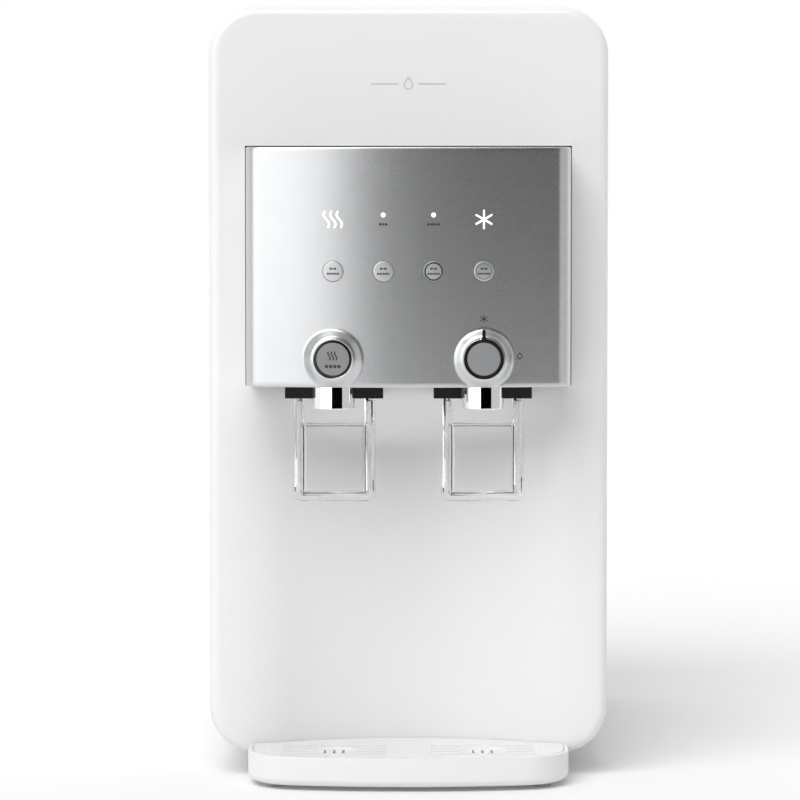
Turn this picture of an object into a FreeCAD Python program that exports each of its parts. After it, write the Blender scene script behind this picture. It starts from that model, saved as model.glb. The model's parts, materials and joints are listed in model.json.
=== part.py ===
"""Countertop hot and cold water dispenser, tank type, as an assembly of separate parts.

Millimetres. +X is to the right, +Y to the back (the front faces -Y) and +Z is up. The origin
is on the table top, at the middle of the whole machine's footprint. Depths inside the machine
are counted from the front plane of the white fascia: at(d) is the Y of a point d behind it.
Heights are counted from the tray's underside, which is CLEARANCE above the table top: part()
lifts every finished shape by that much.
"""
import FreeCAD, Part

import math
import os

V = FreeCAD.Vector

# ---------------------------------------------------------------- driving dimensions
BODY_W = 260.0            # width over the side panels
TOTAL_H = 500.0           # top cover, above the tray's underside
CLEARANCE = 3.0           # from the table top to the tray's underside
DEPTH = 480.0             # from the tray's front edge to the rear spacers
FOOT_H = 12.0             # underside of the body
CORNER_R = 31.0           # body corners, seen from the front
WALL = 2.5                # moulded walls
TRAY_REACH = 67.0         # tray in front of the fascia
FASCIA_Y = TRAY_REACH - DEPTH / 2
FASCIA_D = 40.0           # depth of the fascia cap
FASCIA_EDGE_R = 6.0       # soft front edge of the fascia
REAR_D = 394.0            # inner face of the rear panel, behind the fascia plane
REAR_T = 2.0
COVER_Z = 460.0           # split line between side panels and top cover
GAP = 0.3                 # clearance between a moving cover and its neighbours

RECESS_D = 26.5           # hollow in the lower fascia, where the cups stand
RECESS_HALF_W = 120.0
RECESS_CURVE_R = 185.0    # plan radius of the hollow's middle
RECESS_TOP_Z = 256.0      # where the hollow starts, level with the head's underside
RECESS_FULL_Z = 215.0     # where it has its full depth

HEAD_W = 208.0            # control head in front of the fascia
HEAD_REACH = 62.0
HEAD_Z0 = 256.0
HEAD_Z1 = 409.0
HEAD_FRONT_R = 474.7      # gentle curve of the silver front, in plan
HEAD_CORNER_R = 12.0
HEAD_EDGE_R = 1.2
CAP_BACK = -34.0          # the silver cap ends here, the black trim ring follows
TRIM_BACK = -31.0
TRIM_PROUD = 0.8
PANEL_CAVITY = 2.5        # wall of the silver cap
BOARD_D = -52.0           # front face of the display board
GUIDE_BACK = -54.5        # back of the symbols' light guides
STANDOFF_XZS = ((-70.0, 322.0), (70.0, 322.0), (-70.0, 380.0), (70.0, 380.0))

TAP_X = 48.0              # the two taps stand at -TAP_X (hot) and +TAP_X (cold)
BUTTON_XS = (-48.0, -16.0, 16.0, 48.0)
BUTTON_Z = 330.0
BUTTON_R = 6.6
BUTTON_HOLE_R = 6.75
ICON_Z = 363.0
LED_Z = 365.8
LED_R = 1.5
CONTROL_Z = 274.4         # hot push button and selector knob
CONTROL_R = 13.0          # over the chrome rings
MOUND_R = 18.5            # base of the raised mound round each control
MOUND_FRONT = -64.3
POINTER_TIP = 19.2        # above the knob's centre
BUTTON_CAP_R = 11.95      # hot push button, in a hole of PUSH_HOLE_R
PUSH_HOLE_R = 12.05
CONTROL_DISC_R = 10.5
SHAFT_R = 3.0

SPOUT_Y = -30.0           # tap axis, in front of the fascia plane
SPOUT_R = 13.65
SPOUT_Z = 240.8
LEVER_HALF_W = 26.75
LEVER_FRONT = -22.0
LEVER_BACK = -12.0
LEVER_Z0 = 180.0
LEVER_BAR_Z = 230.5       # top of the lever's cross bar
LEVER_SILL_Z = 186.7      # bottom of the window between the inner ribs
LEVER_RIB_X = 18.5        # inner ribs, and the notch that clears the spout
LEVER_RIB_T = 1.8
PIVOT_Y = -17.0
PIVOT_Z = 251.5
PIN_R = 1.5
PIN_CLEAR = 0.05
PLUNGER_Z = 266.0         # push rod of each valve, worked by the lever's top bar
ROD_R = 1.6
SEAL_R = 4.43
VALVE_BORE_R = 4.5
VALVE_FRONT = -38.0
VALVE_BACK = -24.0
VALVE_MID = (VALVE_FRONT + VALVE_BACK) / 2
VALVE_TOP = 285.0
WATERWAY_R = 2.2
POCKET_HALF_W = 27.3      # opening in the bracket and base plate for the lever
POCKET_FRONT = -24.0
POCKET_BACK = -10.0
BRACKET_HALF_W = 31.7
BRACKET_Z = 247.0

TRAY_TOP = 19.0
TRAY_BASE = 0.0
TRAY_W = 208.0
TRAY_FRONT_R = 385.0
TRAY_CORNER_R = 35.0
TRAY_WALL = 3.0
GRILLE_T = 2.5
TARGET_D = -29.0          # dished targets under the taps
TARGET_R = 13.5
TONGUE_XS = (-60.0, 60.0)
PAD_XDS = ((-86.0, -36.0), (86.0, -36.0), (-66.0, -2.0), (66.0, -2.0))
TUBE_R = 3.175            # quarter-inch water tube

SHELF_Z = 287.0           # top of the shelf that carries the tanks
TANK_D = 115.0            # tank axes, behind the fascia plane
TANK_WALL = 1.5
HOT_TANK_X = -62.0
HOT_TANK_R = 42.0
COLD_TANK_X = 56.0
COLD_TANK_R = 50.0
COMPRESSOR_XD = (-42.0, 320.0)
COMPRESSOR_R = 52.0
FILTER_XS = (-66.0, 0.0, 66.0)
FILTER_D = 80.0
FILTER_R = 30.0
INLET_X = 95.0            # mains inlet and rocker switch on the rear panel
INLET_Z = 110.0
ROCKER_Z = 140.0
ROCKER_TILT = 7.0
ROCKER_AXIS_D = REAR_D + REAR_T - 1.0
FITTING_XS = (30.0, 62.0)
FITTING_Z = 42.0
SCREW_X = 119.0
SCREW_ZS = (80.0, 190.0, 310.0, 425.0)
SCREW_R = 1.6
SPACER_XS = (-85.0, 85.0)
FOOT_XDS = ((-84.0, 46.0), (84.0, 46.0), (-84.0, 382.0), (84.0, 382.0))
FOOT_R = 12.0
FOOT_STEM_R = 4.0

RIGHT = V(1, 0, 0)
BACK = V(0, 1, 0)
UP = V(0, 0, 1)


# ---------------------------------------------------------------- helpers
def at(depth):
    """Y of a point that lies depth behind the fascia's front plane."""
    return FASCIA_Y + depth


def box(x0, x1, d0, d1, z0, z1):
    """Box between two depths behind the fascia plane."""
    return Part.makeBox(x1 - x0, d1 - d0, z1 - z0, V(x0, at(d0), z0))


def rod_y(radius, x, z, d0, d1):
    """Cylinder along +Y."""
    return Part.makeCylinder(radius, d1 - d0, V(x, at(d0), z), BACK)


def rod_z(radius, x, depth, z0, z1):
    """Cylinder along +Z."""
    return Part.makeCylinder(radius, z1 - z0, V(x, at(depth), z0), UP)


def rod_x(radius, depth, z, x0, x1):
    """Cylinder along +X."""
    return Part.makeCylinder(radius, x1 - x0, V(x0, at(depth), z), RIGHT)


def fuse(first, *others):
    """One solid from several that touch or overlap."""
    return first.fuse(list(others)).removeSplitter()


def cut(body, *tools):
    """The body less every tool."""
    return body.cut(list(tools))


def edges_where(shape, test):
    """Edges whose every vertex and middle point passes the test."""
    found = []
    for edge in shape.Edges:
        points = [v.Point for v in edge.Vertexes]
        points.append(edge.valueAt((edge.FirstParameter + edge.LastParameter) / 2))
        if all(test(p) for p in points):
            found.append(edge)
    return found


def rounded_prism(x0, x1, z0, z1, radius, d0, d1):
    """Prism along Y whose outline in X and Z has rounded corners."""
    return round_along_y(box(x0, x1, d0, d1, z0, z1), radius)


def round_along_y(shape, radius):
    """Rounds a box's four edges that run along Y."""
    edges = []
    for edge in shape.Edges:
        start, end = (v.Point for v in edge.Vertexes)
        if abs(start.x - end.x) < 1e-6 and abs(start.z - end.z) < 1e-6:
            edges.append(edge)
    return shape.makeFillet(radius, edges)


def arc_through(a, b, c):
    """Arc edge through three points."""
    return Part.Arc(a, b, c).toShape()


def mirrored(p):
    """The plan point on the other side of the middle plane."""
    return V(-p.x, p.y, 0)


def circle_point(centre, radius, angle):
    """Point on a plan circle; angle 0 faces the front, and grows towards +X."""
    return V(centre.x + radius * math.sin(angle), centre.y - radius * math.cos(angle), 0)


def plan_solid(edges, z0, z1):
    """Solid over a closed plan outline."""
    face = Part.Face(Part.Wire(Part.__sortEdges__(edges)))
    solid = face.extrude(V(0, 0, z1 - z0))
    solid.translate(V(0, 0, z0))
    return solid


def bowed_plan(half_w, front, front_r, corner_r, inset, back, z0, z1):
    """Solid whose plan has a bowed front, rounded front corners and straight sides."""
    middle = V(0, at(front + front_r), 0)
    reach = math.sqrt((front_r - corner_r) ** 2 - (half_w - corner_r) ** 2)
    corner = V(half_w - corner_r, middle.y - reach, 0)
    turn = math.atan2(corner.x, middle.y - corner.y)
    small = corner_r - inset
    nose = circle_point(middle, front_r - inset, 0)
    joint = circle_point(corner, small, turn)
    halfway = circle_point(corner, small, (turn + math.pi / 2) / 2)
    side = circle_point(corner, small, math.pi / 2)

    rear = V(side.x, at(back), 0)
    edges = [
        arc_through(mirrored(joint), nose, joint),
        arc_through(joint, halfway, side),
        Part.makeLine(side, rear),
        Part.makeLine(rear, mirrored(rear)),
        Part.makeLine(mirrored(rear), mirrored(side)),
        arc_through(mirrored(side), mirrored(halfway), mirrored(joint)),
    ]
    return plan_solid(edges, z0, z1)


def head_solid(inset, back, z0, z1):
    """Solid inside the control head's plan outline."""
    return bowed_plan(HEAD_W / 2, -HEAD_REACH, HEAD_FRONT_R, HEAD_CORNER_R, inset, back, z0, z1)


def head_front(x):
    """Depth of the silver front's surface at x."""
    return HEAD_FRONT_R - HEAD_REACH - math.sqrt(HEAD_FRONT_R ** 2 - x ** 2)


def recess_solid(offset, z0, z1):
    """Everything in front of the hollow's wall, whose plan is moved back by offset."""
    turn = 2 * math.atan2(RECESS_D, RECESS_HALF_W)
    radii = RECESS_HALF_W / math.sin(turn)
    flank_r = radii - RECESS_CURVE_R
    bowl_r = RECESS_CURVE_R + offset
    bowl = V(0, at(RECESS_D - RECESS_CURVE_R), 0)
    flank = V(RECESS_HALF_W, at(flank_r), 0)
    deepest = V(0, bowl.y + bowl_r, 0)
    joint = V(bowl_r * math.sin(turn), bowl.y + bowl_r * math.cos(turn), 0)
    bend = circle_point(flank, flank_r - offset, -turn / 2)
    end = circle_point(flank, flank_r - offset, 0)
    far = V(end.x + 2 * CORNER_R, end.y, 0)
    front = V(far.x, at(-2 * TRAY_REACH), 0)

    edges = [arc_through(mirrored(joint), deepest, joint)]
    for flip in (lambda p: p, mirrored):
        edges.append(arc_through(flip(joint), flip(bend), flip(end)))
        edges.append(Part.makeLine(flip(end), flip(far)))
        edges.append(Part.makeLine(flip(far), flip(front)))
    edges.append(Part.makeLine(mirrored(front), front))
    return plan_solid(edges, z0, z1)


def recess_cutter(offset):
    """The hollow as it is cut into the fascia, with its sloping ceiling."""
    rise = offset * 1.8
    points = [
        V(-BODY_W, at(-2 * TRAY_REACH), -1),
        V(-BODY_W, at(RECESS_D + offset + 1), -1),
        V(-BODY_W, at(RECESS_D + offset + 1), RECESS_FULL_Z + rise - 1),
        V(-BODY_W, at(0), RECESS_TOP_Z + rise),
        V(-BODY_W, at(-2 * TRAY_REACH), RECESS_TOP_Z + rise),
    ]
    profile = Part.Face(Part.makePolygon(points + [points[0]]))
    envelope = profile.extrude(V(2 * BODY_W, 0, 0))
    return recess_solid(offset, -1, RECESS_TOP_Z + 2 * CORNER_R).common(envelope)


def pipe(points, radius, bend):
    """Round tube of straight runs joined by tangent arcs of one radius."""
    path = []
    start = points[0]
    for before, corner, after in zip(points, points[1:], points[2:]):
        towards = (before - corner).normalize()
        onward = (after - corner).normalize()
        half = towards.getAngle(onward) / 2
        setback = bend / math.tan(half)
        first = corner + towards * setback
        last = corner + onward * setback
        inward = (towards + onward).normalize()
        middle = corner + inward * (bend / math.sin(half) - bend)
        path.append(Part.makeLine(start, first))
        path.append(arc_through(first, middle, last))
        start = last
    path.append(Part.makeLine(start, points[-1]))
    ring = Part.Wire([Part.makeCircle(radius, points[0], points[1] - points[0])])
    return Part.Wire(path).makePipeShell([ring], True, False)


def run(*xdz):
    """Path points from (x, depth, z) triples."""
    return [V(x, at(d), z) for x, d, z in xdz]


def coil(coil_r, wire_r, length, turns):
    """Wound wire about +Z, made of half turns that tilt alternately and meet face to face."""
    rise = length / turns / 2
    reach = math.hypot(coil_r, rise / 2)
    tilt = math.degrees(math.asin(rise / 2 / reach))
    halves = []
    for i in range(2 * turns):
        half = Part.makeTorus(reach, wire_r, V(0, 0, 0), UP, -180, 180, 180)
        half.rotate(V(0, 0, 0), BACK, tilt)
        half.rotate(V(0, 0, 0), UP, 180 * (i % 2))
        half.translate(V(0, 0, rise * (i + 0.5)))
        halves.append(half)
    return halves[0].fuse(halves[1:])


def coil_spring(x, z, d0, d1, coil_r, wire_r, turns):
    """Compression spring along Y, wire centre radius coil_r."""
    spring = coil(coil_r, wire_r, d1 - d0 - 2 * wire_r, turns)
    spring.rotate(V(0, 0, 0), RIGHT, -90)
    spring.translate(V(x, at(d0 + wire_r), z))
    return spring


PARTS = {}


def part(node, *solids):
    """Names one sub-part, which may be a group of separate solids, and lifts it off the table."""
    shape = solids[0] if len(solids) == 1 else Part.makeCompound(list(solids))
    shape.translate(UP * CLEARANCE)
    PARTS[node] = shape


# ---------------------------------------------------------------- housing
def front_fascia():
    """White front cap: rounded outline, hollow lower front, opening behind the head."""
    half = BODY_W / 2
    outer = rounded_prism(-half, half, FOOT_H, TOTAL_H, CORNER_R, 0, FASCIA_D)
    outer = outer.makeFillet(FASCIA_EDGE_R, edges_where(outer, lambda p: abs(p.y - at(0)) < 1e-3))
    inner = rounded_prism(
        -half + WALL, half - WALL, FOOT_H + WALL, TOTAL_H - WALL, CORNER_R - WALL,
        WALL, FASCIA_D + 1,
    )
    front_edges = edges_where(inner, lambda p: abs(p.y - at(WALL)) < 1e-3)
    inner = inner.makeFillet(FASCIA_EDGE_R - WALL, front_edges)
    inner = cut(inner, recess_cutter(WALL))
    opening = box(-90, 90, -1, WALL + 1, HEAD_Z0 + 8, HEAD_Z1 - 8)
    part("front_fascia", cut(outer, recess_cutter(0), inner, opening))


def side_panels():
    """Left and right panels, each turned under the body and flanged inward at the rear."""
    half = BODY_W / 2
    ring = cut(
        rounded_prism(-half, half, FOOT_H, TOTAL_H, CORNER_R, FASCIA_D, REAR_D),
        rounded_prism(-half + WALL, half - WALL, FOOT_H + WALL, TOTAL_H - WALL,
                      CORNER_R - WALL, FASCIA_D - 1, REAR_D + 1),
    )
    for node, sign in (("left_side_panel", -1), ("right_side_panel", 1)):
        inner, outer = sorted((sign * (half - CORNER_R), sign * (half + 1)))
        wall = ring.common(box(inner, outer, FASCIA_D, REAR_D, 0, COVER_Z))
        low, high = sorted((sign * (half - WALL), sign * (half - 18)))
        flange = box(low, high, REAR_D - 2, REAR_D, 60, COVER_Z - 20)
        panel = fuse(wall, flange)
        for z in SCREW_ZS:
            panel = cut(panel, rod_y(SCREW_R, sign * SCREW_X, z, REAR_D - 3, REAR_D + 1))
        part(node, panel)


def top_cover():
    """Lift-off cover with both top corners and a locating lip inside the side panels."""
    half = BODY_W / 2
    front = FASCIA_D + GAP
    rear = REAR_D - GAP
    ring = cut(
        rounded_prism(-half, half, FOOT_H, TOTAL_H, CORNER_R, front, rear),
        rounded_prism(-half + WALL, half - WALL, FOOT_H + WALL, TOTAL_H - WALL,
                      CORNER_R - WALL, front - 1, rear + 1),
    )
    shell = ring.common(box(-half, half, front, rear, COVER_Z + GAP, TOTAL_H))
    for sign in (-1, 1):
        low, high = sorted((sign * (half - WALL - 0.4), sign * (half - WALL - 2)))
        skirt = box(low, high, front + 20, rear - 20, COVER_Z - 8, COVER_Z + 8)
        low, high = sorted((sign * (half - WALL), sign * (half - WALL - 2)))
        root = box(low, high, front + 20, rear - 20, COVER_Z + GAP, COVER_Z + 8)
        shell = fuse(shell, skirt, root)
    finger_notch = rounded_prism(-22, 22, TOTAL_H - WALL - 1, TOTAL_H + 9, 4, rear - 5, rear + 1)
    part("top_cover", cut(shell, finger_notch))


def rear_panel():
    """Flat rear panel with louvres and cut-outs for the inlet and the tube fittings."""
    half = BODY_W / 2
    plate = rounded_prism(-half, half, FOOT_H, TOTAL_H, CORNER_R, REAR_D, REAR_D + REAR_T)
    for row in range(16):
        z = 196 + row * 14.5
        for x in (-78, 0, 78):
            slot = rounded_prism(x - 33, x + 33, z, z + 5, 2.4, REAR_D - 1, REAR_D + REAR_T + 1)
            plate = cut(plate, slot)
    for row in range(9):
        z = 44 + row * 14.5
        slot = rounded_prism(-96, -14, z, z + 5, 2.4, REAR_D - 1, REAR_D + REAR_T + 1)
        plate = cut(plate, slot)
    plate = cut(plate, box(INLET_X - 13.5, INLET_X + 13.5, REAR_D - 1, REAR_D + REAR_T + 1,
                           INLET_Z - 10, ROCKER_Z + 13))
    for x in FITTING_XS:
        plate = cut(plate, rod_y(6, x, FITTING_Z, REAR_D - 1, REAR_D + REAR_T + 1))
    for sign in (-1, 1):
        for z in SCREW_ZS:
            hole = rod_y(SCREW_R, sign * SCREW_X, z, REAR_D - 1, REAR_D + REAR_T + 1)
            plate = cut(plate, hole)
    part("rear_panel", plate)
    spacers = [
        rounded_prism(x - 12, x + 12, 446, 474, 6, REAR_D + REAR_T, DEPTH - TRAY_REACH)
        for x in SPACER_XS
    ]
    part("wall_spacers", *spacers)


def rear_panel_screws():
    """Pan-head screws that hold the rear panel to the side panels' flanges."""
    screws = []
    face = REAR_D + REAR_T
    for sign in (-1, 1):
        for z in SCREW_ZS:
            head = rod_y(3.5, sign * SCREW_X, z, face, face + 2)
            head = head.makeFillet(1.2, edges_where(head, lambda p: p.y > at(face + 2) - 1e-3)[:1])
            shank = rod_y(SCREW_R, sign * SCREW_X, z, REAR_D - 8, face)
            cross = [
                box(sign * SCREW_X - a, sign * SCREW_X + a, face + 1, face + 3, z - b, z + b)
                for a, b in ((1.9, 0.4), (0.4, 1.9))
            ]
            screws.append(cut(fuse(head, shank), *cross))
    part("rear_panel_screws", *screws)


def base_pan():
    """Moulded floor of the machine, with raised edges and holes for the feet."""
    half = BODY_W / 2 - CORNER_R
    floor = box(-half, half, FASCIA_D, REAR_D, FOOT_H, FOOT_H + WALL)
    rims = [
        box(low, low + 2, FASCIA_D, REAR_D, FOOT_H + WALL, FOOT_H + 14) for low in (-half, half - 2)
    ]
    pan = fuse(floor, *rims)
    for x, depth in FOOT_XDS:
        pan = cut(pan, rod_z(FOOT_STEM_R, x, depth, FOOT_H - 1, FOOT_H + WALL + 1))
    part("base_pan", pan)


def rubber_feet():
    """Four push-in rubber feet."""
    feet = []
    for x, depth in FOOT_XDS:
        pad = rod_z(FOOT_R, x, depth, -CLEARANCE, FOOT_H)
        pad = pad.makeChamfer(1.2, edges_where(pad, lambda p: p.z < 1e-3 - CLEARANCE))
        feet.append(fuse(pad, rod_z(FOOT_STEM_R, x, depth, FOOT_H, FOOT_H + 4)))
    part("rubber_feet", *feet)


def tank_shelf():
    """Sheet shelf on four legs that carries the tanks over the filters and compressor."""
    plate = box(-124, 124, 44, 300, SHELF_Z - 3, SHELF_Z)
    legs = [
        box(x, x + 7, d, d + 8, FOOT_H + WALL, SHELF_Z - 3)
        for x in (-96, 89) for d in (44, 261)
    ]
    shelf = fuse(plate, *legs)
    part("tank_shelf", cut(shelf, rod_z(6, -95, 245, SHELF_Z - 4, SHELF_Z + 1)))


# ---------------------------------------------------------------- hydraulics and cooling
def filters():
    """Three filter cartridges standing under one manifold."""
    for node, x in zip(("sediment_filter", "carbon_filter", "post_carbon_filter"), FILTER_XS):
        can = rod_z(FILTER_R, x, FILTER_D, FOOT_H + WALL, 236)
        can = can.makeFillet(8, edges_where(can, lambda p: p.z > 1))
        neck = rod_z(20, x, FILTER_D, 236, 255)
        part(node, fuse(can, neck))
    block = box(-105, 105, FILTER_D - 18, FILTER_D + 18, 255, 277)
    block = block.makeFillet(3, edges_where(block, lambda p: p.z > 276.9))
    part("filter_manifold", block)


def sealed_tank(radius, x, z0, z1, shoulder_r):
    """Closed sheet-metal tank with a rounded shoulder."""
    outer = rod_z(radius, x, TANK_D, z0, z1)
    outer = outer.makeFillet(shoulder_r, edges_where(outer, lambda p: p.z > z1 - 0.1))
    inner = rod_z(radius - TANK_WALL, x, TANK_D, z0 + TANK_WALL, z1 - TANK_WALL)
    inner_top = edges_where(inner, lambda p: p.z > z1 - TANK_WALL - 0.1)
    return cut(outer, inner.makeFillet(shoulder_r - TANK_WALL, inner_top))


def hot_tank():
    """Stainless hot tank with its clamped band heater."""
    part("hot_tank", sealed_tank(HOT_TANK_R, HOT_TANK_X, SHELF_Z, 430, 9))
    band = cut(
        rod_z(HOT_TANK_R + 3, HOT_TANK_X, TANK_D, 322, 368),
        rod_z(HOT_TANK_R, HOT_TANK_X, TANK_D, 321, 369),
    )
    terminals = box(HOT_TANK_X - 12, HOT_TANK_X + 12, TANK_D + HOT_TANK_R + 2,
                    TANK_D + HOT_TANK_R + 14, 335, 355)
    part("band_heater", fuse(band, terminals))


def cold_tank():
    """Stainless cold tank, its refrigerant coil and its foam jacket."""
    part("cold_tank", sealed_tank(COLD_TANK_R, COLD_TANK_X, SHELF_Z + 10, 440, 8))
    winding = coil(COLD_TANK_R + 3.1, 3, 96, 8)
    winding.translate(V(COLD_TANK_X, at(TANK_D), 330))
    part("evaporator_coil", winding)
    jacket = cut(
        rod_z(COLD_TANK_R + 20, COLD_TANK_X, TANK_D, SHELF_Z, 446),
        rod_z(COLD_TANK_R + 6.5, COLD_TANK_X, TANK_D, SHELF_Z + 10, 447),
        rod_y(TUBE_R, TAP_X, 312, 40, 70),
        rod_y(TUBE_R, COLD_TANK_X, 310, 160, 190),
    )
    part("cold_tank_insulation", jacket)


def ambient_tank():
    """Closed plastic reservoir behind the hot and cold tanks."""
    outer = box(-115, 115, 200, 290, SHELF_Z, 448)
    vertical = [e for e in outer.Edges if abs(e.Vertexes[0].Z - e.Vertexes[1].Z) > 1]
    outer = outer.makeFillet(10, vertical)
    inner = box(-112.5, 112.5, 202.5, 287.5, SHELF_Z + WALL, 448 - WALL)
    lid_grip = rod_z(18, 0, 245, 448, 456)
    part("ambient_tank", fuse(cut(outer, inner), lid_grip))


def compressor():
    """Hermetic compressor on its foot plate and rubber grommets."""
    x, depth = COMPRESSOR_XD
    grommets = [
        rod_z(7, x + sx * 42, depth + sd * 42, FOOT_H + WALL, 26) for sx in (-1, 1) for sd in (-1, 1)
    ]
    part("compressor_grommets", *grommets)
    foot = rounded_plate(x, depth, 50, 26, 29)
    shell = rod_z(COMPRESSOR_R, x, depth, 29, 150)
    shell = shell.makeFillet(22, edges_where(shell, lambda p: p.z > 149.9))
    stub = rod_z(3, x + 20, depth - 20, 140, 166)
    part("compressor", fuse(foot, shell, stub))


def rounded_plate(x, depth, half, z0, z1):
    """Square plate with rounded corners, centred on x and depth."""
    plate = box(x - half, x + half, depth - half, depth + half, z0, z1)
    upright = [e for e in plate.Edges if abs(e.Vertexes[0].Z - e.Vertexes[1].Z) > 1e-3]
    return plate.makeFillet(6, upright)


def condenser():
    """Wire-on-tube condenser: one serpentine tube with wires across it."""
    depth = 380
    half = 92
    pitch = 20
    rows = 12
    z0 = 196
    points = []
    for row in range(rows):
        ends = (-half, half) if row % 2 == 0 else (half, -half)
        for x in ends:
            points.append((x, depth, z0 + row * pitch))
    tube = pipe(run(*points), 2.4, pitch / 2 - 0.1)
    wires = [
        rod_z(0.8, -84 + 8.4 * i, depth - 3.2, z0 - 6, z0 + (rows - 1) * pitch + 6)
        for i in range(21)
    ]
    part("condenser", tube, *wires)


def water_side():
    """Rear push-fit bulkheads, inlet solenoid valve and the tubes between the tanks."""
    fittings = []
    for x in FITTING_XS:
        body = fuse(
            rod_y(6, x, FITTING_Z, REAR_D - 14, REAR_D + REAR_T),
            rod_y(9, x, FITTING_Z, REAR_D + REAR_T, REAR_D + REAR_T + 6),
            rod_y(7, x, FITTING_Z, REAR_D + REAR_T + 6, REAR_D + REAR_T + 13),
        )
        fittings.append(cut(body, rod_y(TUBE_R + 0.025, x, FITTING_Z, REAR_D - 15, REAR_D + 20)))
    part("tube_fittings", *fittings)

    x = FITTING_XS[0]
    valve = fuse(
        box(x - 16, x + 16, 236, 268, FOOT_H + WALL, FITTING_Z + 10),
        rod_z(14, x, 252, FITTING_Z + 10, FITTING_Z + 42),
    )
    part("inlet_solenoid_valve", valve)

    manifold_back = FILTER_D + 18
    tank_front = 200
    routes = [
        run((x, REAR_D - 14, FITTING_Z), (x, 268, FITTING_Z)),
        run((x, 236, FITTING_Z), (x, 150, FITTING_Z), (x, 150, 266), (x, manifold_back, 266)),
        run((-95, manifold_back, 266), (-95, 245, 266), (-95, 245, SHELF_Z)),
        run((COLD_TANK_X, 165.2, 310), (COLD_TANK_X, tank_front, 310)),
        run((HOT_TANK_X, 157.2, 302), (HOT_TANK_X, tank_front, 302)),
        run((TAP_X, 65.1, 312), (TAP_X, VALVE_MID, 312), (TAP_X, VALVE_MID, VALVE_TOP)),
        run((-TAP_X, 74.2, 312), (-TAP_X, VALVE_MID, 312), (-TAP_X, VALVE_MID, VALVE_TOP)),
    ]
    bends = (0, 25, 12, 0, 0, 12, 12)
    tubes = []
    for points, bend in zip(routes, bends):
        tubes.append(pipe(points, TUBE_R, bend))
    part("water_tubes", *tubes)


# ---------------------------------------------------------------- electrics
def power_board():
    """Control and power board on two posts, with its larger components."""
    board = box(-118, -116.4, 190, 262, 40, 190)
    posts = [box(-118, -116.4, d, d + 8, 28, 40) for d in (196, 252)]
    feet = [box(-118, -97, d, d + 8, FOOT_H + 14, 28) for d in (196, 252)]
    transformer = box(-116.4, -88, 200, 230, 130, 165)
    relay = box(-116.4, -98, 240, 258, 140, 165)
    capacitors = [rod_x(8, 208 + 22 * i, 100, -116.4, -92) for i in range(3)]
    heat_sink = box(-116.4, -100, 200, 250, 50, 80)
    part("power_board", fuse(board, *posts, *feet, transformer, relay, *capacitors, heat_sink))


def power_inlet():
    """Mains inlet module: flange, socket cavity with three blades, and switch window."""
    face = REAR_D + REAR_T
    flange = rounded_prism(INLET_X - 17, INLET_X + 17, INLET_Z - 13, ROCKER_Z + 16, 3,
                           face, face + 2.5)
    socket = box(INLET_X - 13.5, INLET_X + 13.5, REAR_D - 18, face + 1, INLET_Z - 10, INLET_Z + 10)
    window = box(INLET_X - 13.5, INLET_X + 13.5, REAR_D - 10, face + 1,
                 INLET_Z + 10, ROCKER_Z + 13)
    module = fuse(flange, socket, window)
    cavity = rounded_prism(INLET_X - 12, INLET_X + 12, INLET_Z - 8, INLET_Z + 8, 3,
                           REAR_D - 15, face + 4)
    rocker_room = box(INLET_X - 7.2, INLET_X + 7.2, REAR_D - 8, face + 4,
                      ROCKER_Z - 10.5, ROCKER_Z + 10.5)
    module = cut(module, cavity, rocker_room)
    blades = [
        box(INLET_X + dx - 1, INLET_X + dx + 1, REAR_D - 16, REAR_D - 5, INLET_Z + dz - 2,
            INLET_Z + dz + 2)
        for dx, dz in ((-7, -1.5), (0, 2.5), (7, -1.5))
    ]
    part("power_inlet", fuse(module, *blades))


def power_rocker():
    """Rocker of the mains switch, stored with its lower end pressed in."""
    width = 13.4
    yz = [(-4, -8), (-4, 8), (4.9, 8.6), (3.8, 0), (4.9, -8.6)]
    points = [V(INLET_X - width / 2, at(ROCKER_AXIS_D + y), ROCKER_Z + z) for y, z in yz]
    rocker = Part.Face(Part.makePolygon(points + [points[0]])).extrude(V(width, 0, 0))
    rocker.rotate(V(INLET_X, at(ROCKER_AXIS_D), ROCKER_Z), RIGHT, ROCKER_TILT)
    part("power_rocker", rocker)


# ---------------------------------------------------------------- control head
def wave_bars(x):
    """Three upright S-shaped strokes of the hot symbol, as prisms along Y."""
    bars = []
    half_h = 5.6
    swing = 1.5
    stroke = 1.5
    for centre in (x - 4.1, x, x + 4.1):
        left, right = [], []
        for i in range(9):
            t = i / 8
            sway = swing * math.sin(2 * math.pi * t)
            z = ICON_Z - half_h + 2 * half_h * t
            left.append(V(centre + sway - stroke / 2, at(-HEAD_REACH - 5), z))
            right.append(V(centre + sway + stroke / 2, at(-HEAD_REACH - 5), z))
        sides = []
        for points in (left, right):
            curve = Part.BSplineCurve()
            curve.interpolate(points)
            sides.append(curve.toShape())
        ends = [Part.makeLine(left[0], right[0]), Part.makeLine(left[-1], right[-1])]
        face = Part.Face(Part.Wire(Part.__sortEdges__(sides + ends)))
        bars.append(face.extrude(V(0, HEAD_REACH + 5 + GUIDE_BACK, 0)))
    return bars


def star_bars(x):
    """Three crossed strokes of the cold symbol, fused, as a prism along Y."""
    bars = []
    for turn in (0, 60, 120):
        bar = box(x - 0.7, x + 0.7, -HEAD_REACH - 5, GUIDE_BACK, ICON_Z - 6, ICON_Z + 6)
        bar.rotate(V(x, 0, ICON_Z), BACK, turn)
        bars.append(bar)
    return [fuse(*bars)]


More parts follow.
